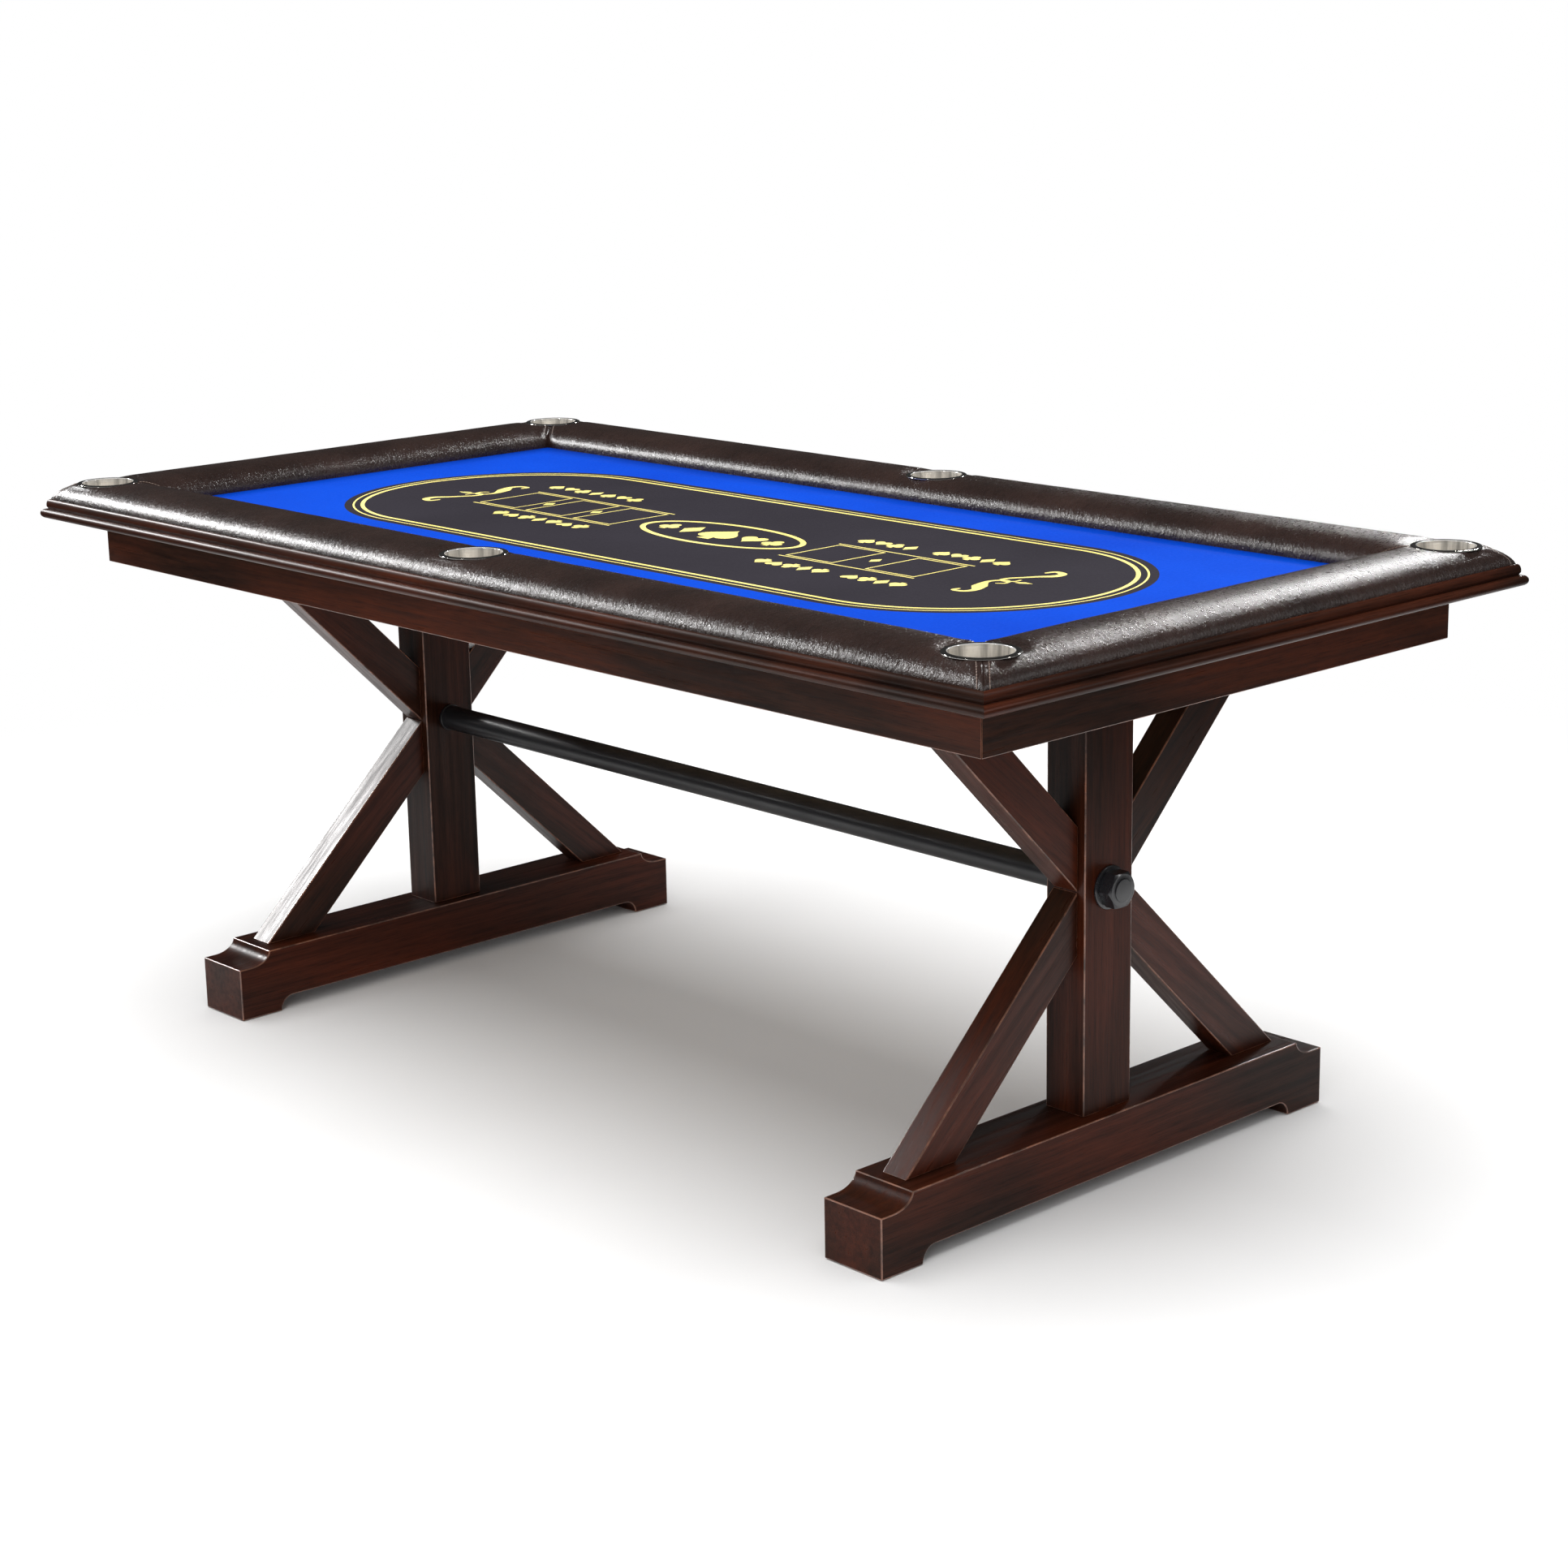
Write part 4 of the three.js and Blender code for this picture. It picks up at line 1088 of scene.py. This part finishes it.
def gold_print():
    """What is printed in gold: (outer, inner) pairs of outlines, and solid shapes."""
    rings = [(track(11.5), track(14.2)), (track(22.5), track(28.3))]
    rings.append((circle(*OVAL_AT, 147 * MM, 66 * MM, 96), circle(*OVAL_AT, 138.5 * MM, 58 * MM, 96)))
    solids = []
    for kind, across, size in (
        ("club", -101, 34), ("diamond", -58, 44), ("spade", 0, 66), ("heart", 58, 44), ("club", 101, 34)
    ):
        solids += suit(kind, OVAL_AT[0] + across * MM, OVAL_AT[1], size * MM)
    three = cards(-453 * MM, -166 * MM, -60 * MM, 60 * MM, 3, 24 * MM)
    two = cards(181 * MM, 410 * MM, -60 * MM, 50 * MM, 2, 58 * MM)
    rings += three[0] + two[0]
    solids += three[1] + two[1]
    solids += pips(-382, 103, 1, (7,)) + pips(-270, -91, -1, (7,))
    solids += pips(309, 86, 1, (4, 5)) + pips(309, -101, -1, (5, 4))
    solids += scroll(-512 * MM, -6 * MM, -1) + scroll(511 * MM, 0, 1)
    return rings, solids


def triangulated(loops, half_x, half_y):
    """The cloth's points and triangles, with the print's outlines as edges and a wide grid between them."""
    points, edges = [], []
    for loop in loops:
        first, n = len(points), len(loop)
        points += [Vector(p) for p in loop]
        edges += [(first + i, first + (i + 1) % n) for i in range(n)]
    for x in np.arange(CLOTH_GRID - half_x, half_x - 20 * MM, CLOTH_GRID):
        for y in np.arange(0.9 * CLOTH_GRID - half_y, half_y - 20 * MM, CLOTH_GRID):
            points.append(Vector((x, y)))
    flat, _, triangles, *_ = geometry.delaunay_2d_cdt(points, edges, [], 0, 1e-6)
    return np.array([tuple(p) for p in flat]), np.array([tuple(t) for t in triangles])


def within(loop, points):
    """Which points lie inside a closed outline."""
    outline = np.array(loop)
    x, y = points[:, 0], points[:, 1]
    inside = np.zeros(len(points), bool)
    for (x0, y0), (x1, y1) in zip(outline, np.roll(outline, -1, axis=0)):
        if y0 != y1:
            inside ^= ((y0 > y) != (y1 > y)) & (x < (x1 - x0) * (y - y0) / (y1 - y0) + x0)
    return inside


def playing_cloth():
    """The stretched cloth, whose print is its own faces in other materials."""
    lo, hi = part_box("playing_cloth")
    rings, solids = gold_print()
    ground = track(0)
    loops = [rectangle(-hi.x, hi.x, -hi.y, hi.y), ground, *(loop for pair in rings for loop in pair), *solids]
    flat, triangles = triangulated(loops, hi.x, hi.y)
    middles = flat[triangles].mean(axis=1)
    colour = np.where(within(ground, middles), 1, 0)
    for outer, inner in rings:
        colour[within(outer, middles) & ~within(inner, middles)] = 2
    for loop in solids:
        colour[within(loop, middles)] = 2

    n = len(flat)
    top = [(x, y, hi.z + 0.10 * MM * noise.noise(Vector((x * 5, y * 5, 0.3)))) for x, y in flat]
    under = [(x, y, lo.z) for x, y in flat]
    faces = [tuple(map(int, t)) for t in triangles]
    used = dict.fromkeys((t[k], t[(k + 1) % 3]) for t in faces for k in range(3))
    rim = [(a, b) for a, b in used if (b, a) not in used]
    faces += [tuple(i + n for i in t[::-1]) for t in faces]
    faces += [(b, a, a + n, b + n) for a, b in rim]
    mesh = bpy.data.meshes.new("printed_cloth")
    mesh.from_pydata(top + under, [], faces)
    obj = placed(mesh.name, mesh, [BLUE, CHARCOAL, GOLD])
    mesh.polygons.foreach_set("material_index", colour.tolist() + [0] * (len(faces) - len(colour)))
    for polygon in mesh.polygons[2 * len(colour):]:
        polygon.use_smooth = False
    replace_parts(obj, "playing_cloth")


playing_cloth()


# ---- CAD nodes that show as they are ----
def finished(node, material):
    NODES[node].material_slots[0].material = material


finished("foam_underlay", FOAM)
finished("playfield_board", MDF)
finished("tie_rod", NUT_BLACK)
for side in SIDES:
    finished(f"rail_core_{side}", MDF)


# ---- Floor, light and camera ----
FLOOR_RADIUS, FADE_FROM, FADE_TO = 3.8, 1.55, 2.5
CAMERA_AT = Vector((2.9831, -2.6560, 1.4184))
YAW, PITCH, ROLL = 2.3948, -0.2540, -0.0188
LENS, SENSOR = 70.11, 36
GLINTS = (  # name, place, aim, size, power: small lights that only show in what shines
    ("crown_strip_right", (-1.1, 4.45, 3.1), (0.87, 0.25, 0.76), (1.1, 0.2), 95),
    ("brace_strip", (-3.86, -1.27, 2.38), (-0.65, -0.3, 0.25), (0.75, 0.75), 180),
    ("rim_strip_front", (0.6, -4.4, 3.3), (0.3, -0.4, 0.75), (0.9, 0.16), 22),
    ("rim_strip_left", (-3.4, -3.2, 2.6), (0, 0, 0.75), (0.16, 0.9), 20),
    ("rim_strip_right", (3.9, 2.2, 2.4), (0.6, 0, 0.75), (0.16, 0.9), 22),
)


def stage_floor():
    """A pale round floor that fades out into the white around it."""
    f = Finish("pale_floor", Specular_IOR_Level=0.1, Roughness=0.95)
    mottle = f.noise(f.place(), 2.0, 2)
    f.feed("Base Color", f.ramp(mottle, (0.3, (0.86, 0.86, 0.86)), (0.7, (0.885, 0.885, 0.885))))
    at = f.add("ShaderNodeTexCoord").outputs["Object"]
    away = f.add("ShaderNodeVectorMath", {0: at}, operation="LENGTH").outputs["Value"]
    span = {"Value": away, "From Min": FADE_FROM, "From Max": FADE_TO}
    fade = f.add("ShaderNodeMapRange", span, interpolation_type="SMOOTHSTEP").outputs[0]
    clear = f.add("ShaderNodeBsdfTransparent").outputs[0]
    mixed = f.add("ShaderNodeMixShader", {0: fade, 1: f.shader.outputs[0], 2: clear}).outputs[0]
    f.tree.links.new(mixed, f.tree.nodes["Material Output"].inputs["Surface"])
    n = 48
    mesh = bpy.data.meshes.new("floor")
    rim = [(x, y, 0) for x, y in circle(0, 0, FLOOR_RADIUS, FLOOR_RADIUS, n)]
    mesh.from_pydata(rim, [], [list(range(n))])
    mesh.materials.append(f.material)
    floor = bpy.data.objects.new("floor", mesh)
    SCENE.collection.objects.link(floor)


def lamp(name, at, towards, size, power):
    """A rectangular light that the camera doesn't see."""
    data = bpy.data.lights.new(name, "AREA")
    data.shape = "RECTANGLE"
    data.size, data.size_y = size
    data.energy = power
    obj = bpy.data.objects.new(name, data)
    SCENE.collection.objects.link(obj)
    obj.location = at
    obj.rotation_euler = (Vector(towards) - Vector(at)).to_track_quat("-Z", "Y").to_euler()
    obj.visible_camera = False
    return obj


def pale_world():
    """A white backdrop that lights softly and hardly shows in what shines."""
    world = bpy.data.worlds.new("studio")
    SCENE.world = world
    world.use_nodes = True
    tree = world.node_tree
    back = tree.nodes["Background"].inputs
    back["Color"].default_value = (1, 1, 1, 1)
    path = tree.nodes.new("ShaderNodeLightPath").outputs
    lighting = tree.nodes.new("ShaderNodeMapRange")
    lighting.inputs["To Min"].default_value = 0.50
    lighting.inputs["To Max"].default_value = 0.04
    tree.links.new(path["Is Glossy Ray"], lighting.inputs["Value"])
    seen = tree.nodes.new("ShaderNodeMapRange")
    seen.inputs["To Max"].default_value = 1.0
    tree.links.new(path["Is Camera Ray"], seen.inputs["Value"])
    tree.links.new(lighting.outputs[0], seen.inputs["To Min"])
    tree.links.new(seen.outputs[0], back["Strength"])


def light():
    pale_world()
    lamp("overhead", (0.0, -0.2, 4.6), (0, 0, 0), (6.5, 5.5), 385).visible_glossy = False
    lamp("front_fill", (2.6, -4.6, 2.2), (0, 0, 0.5), (3.0, 2.0), 60).visible_glossy = False
    for name, at, towards, size, power in GLINTS:
        lamp(name, at, towards, size, power).visible_diffuse = False


def camera():
    data = bpy.data.cameras.new("camera")
    data.sensor_width = SENSOR
    data.lens = LENS
    data.clip_end = 100
    obj = bpy.data.objects.new("camera", data)
    SCENE.collection.objects.link(obj)
    ahead = Vector((math.cos(PITCH) * math.cos(YAW), math.cos(PITCH) * math.sin(YAW), math.sin(PITCH)))
    right = ahead.cross(Vector((0, 0, 1))).normalized()
    up = right.cross(ahead)
    x = math.cos(ROLL) * right + math.sin(ROLL) * up
    y = math.cos(ROLL) * up - math.sin(ROLL) * right
    turn = Matrix((x, y, -ahead)).transposed().to_4x4()
    obj.matrix_world = Matrix.Translation(CAMERA_AT) @ turn
    SCENE.camera = obj


stage_floor()
light()
camera()
SCENE.view_settings.view_transform = "Standard"
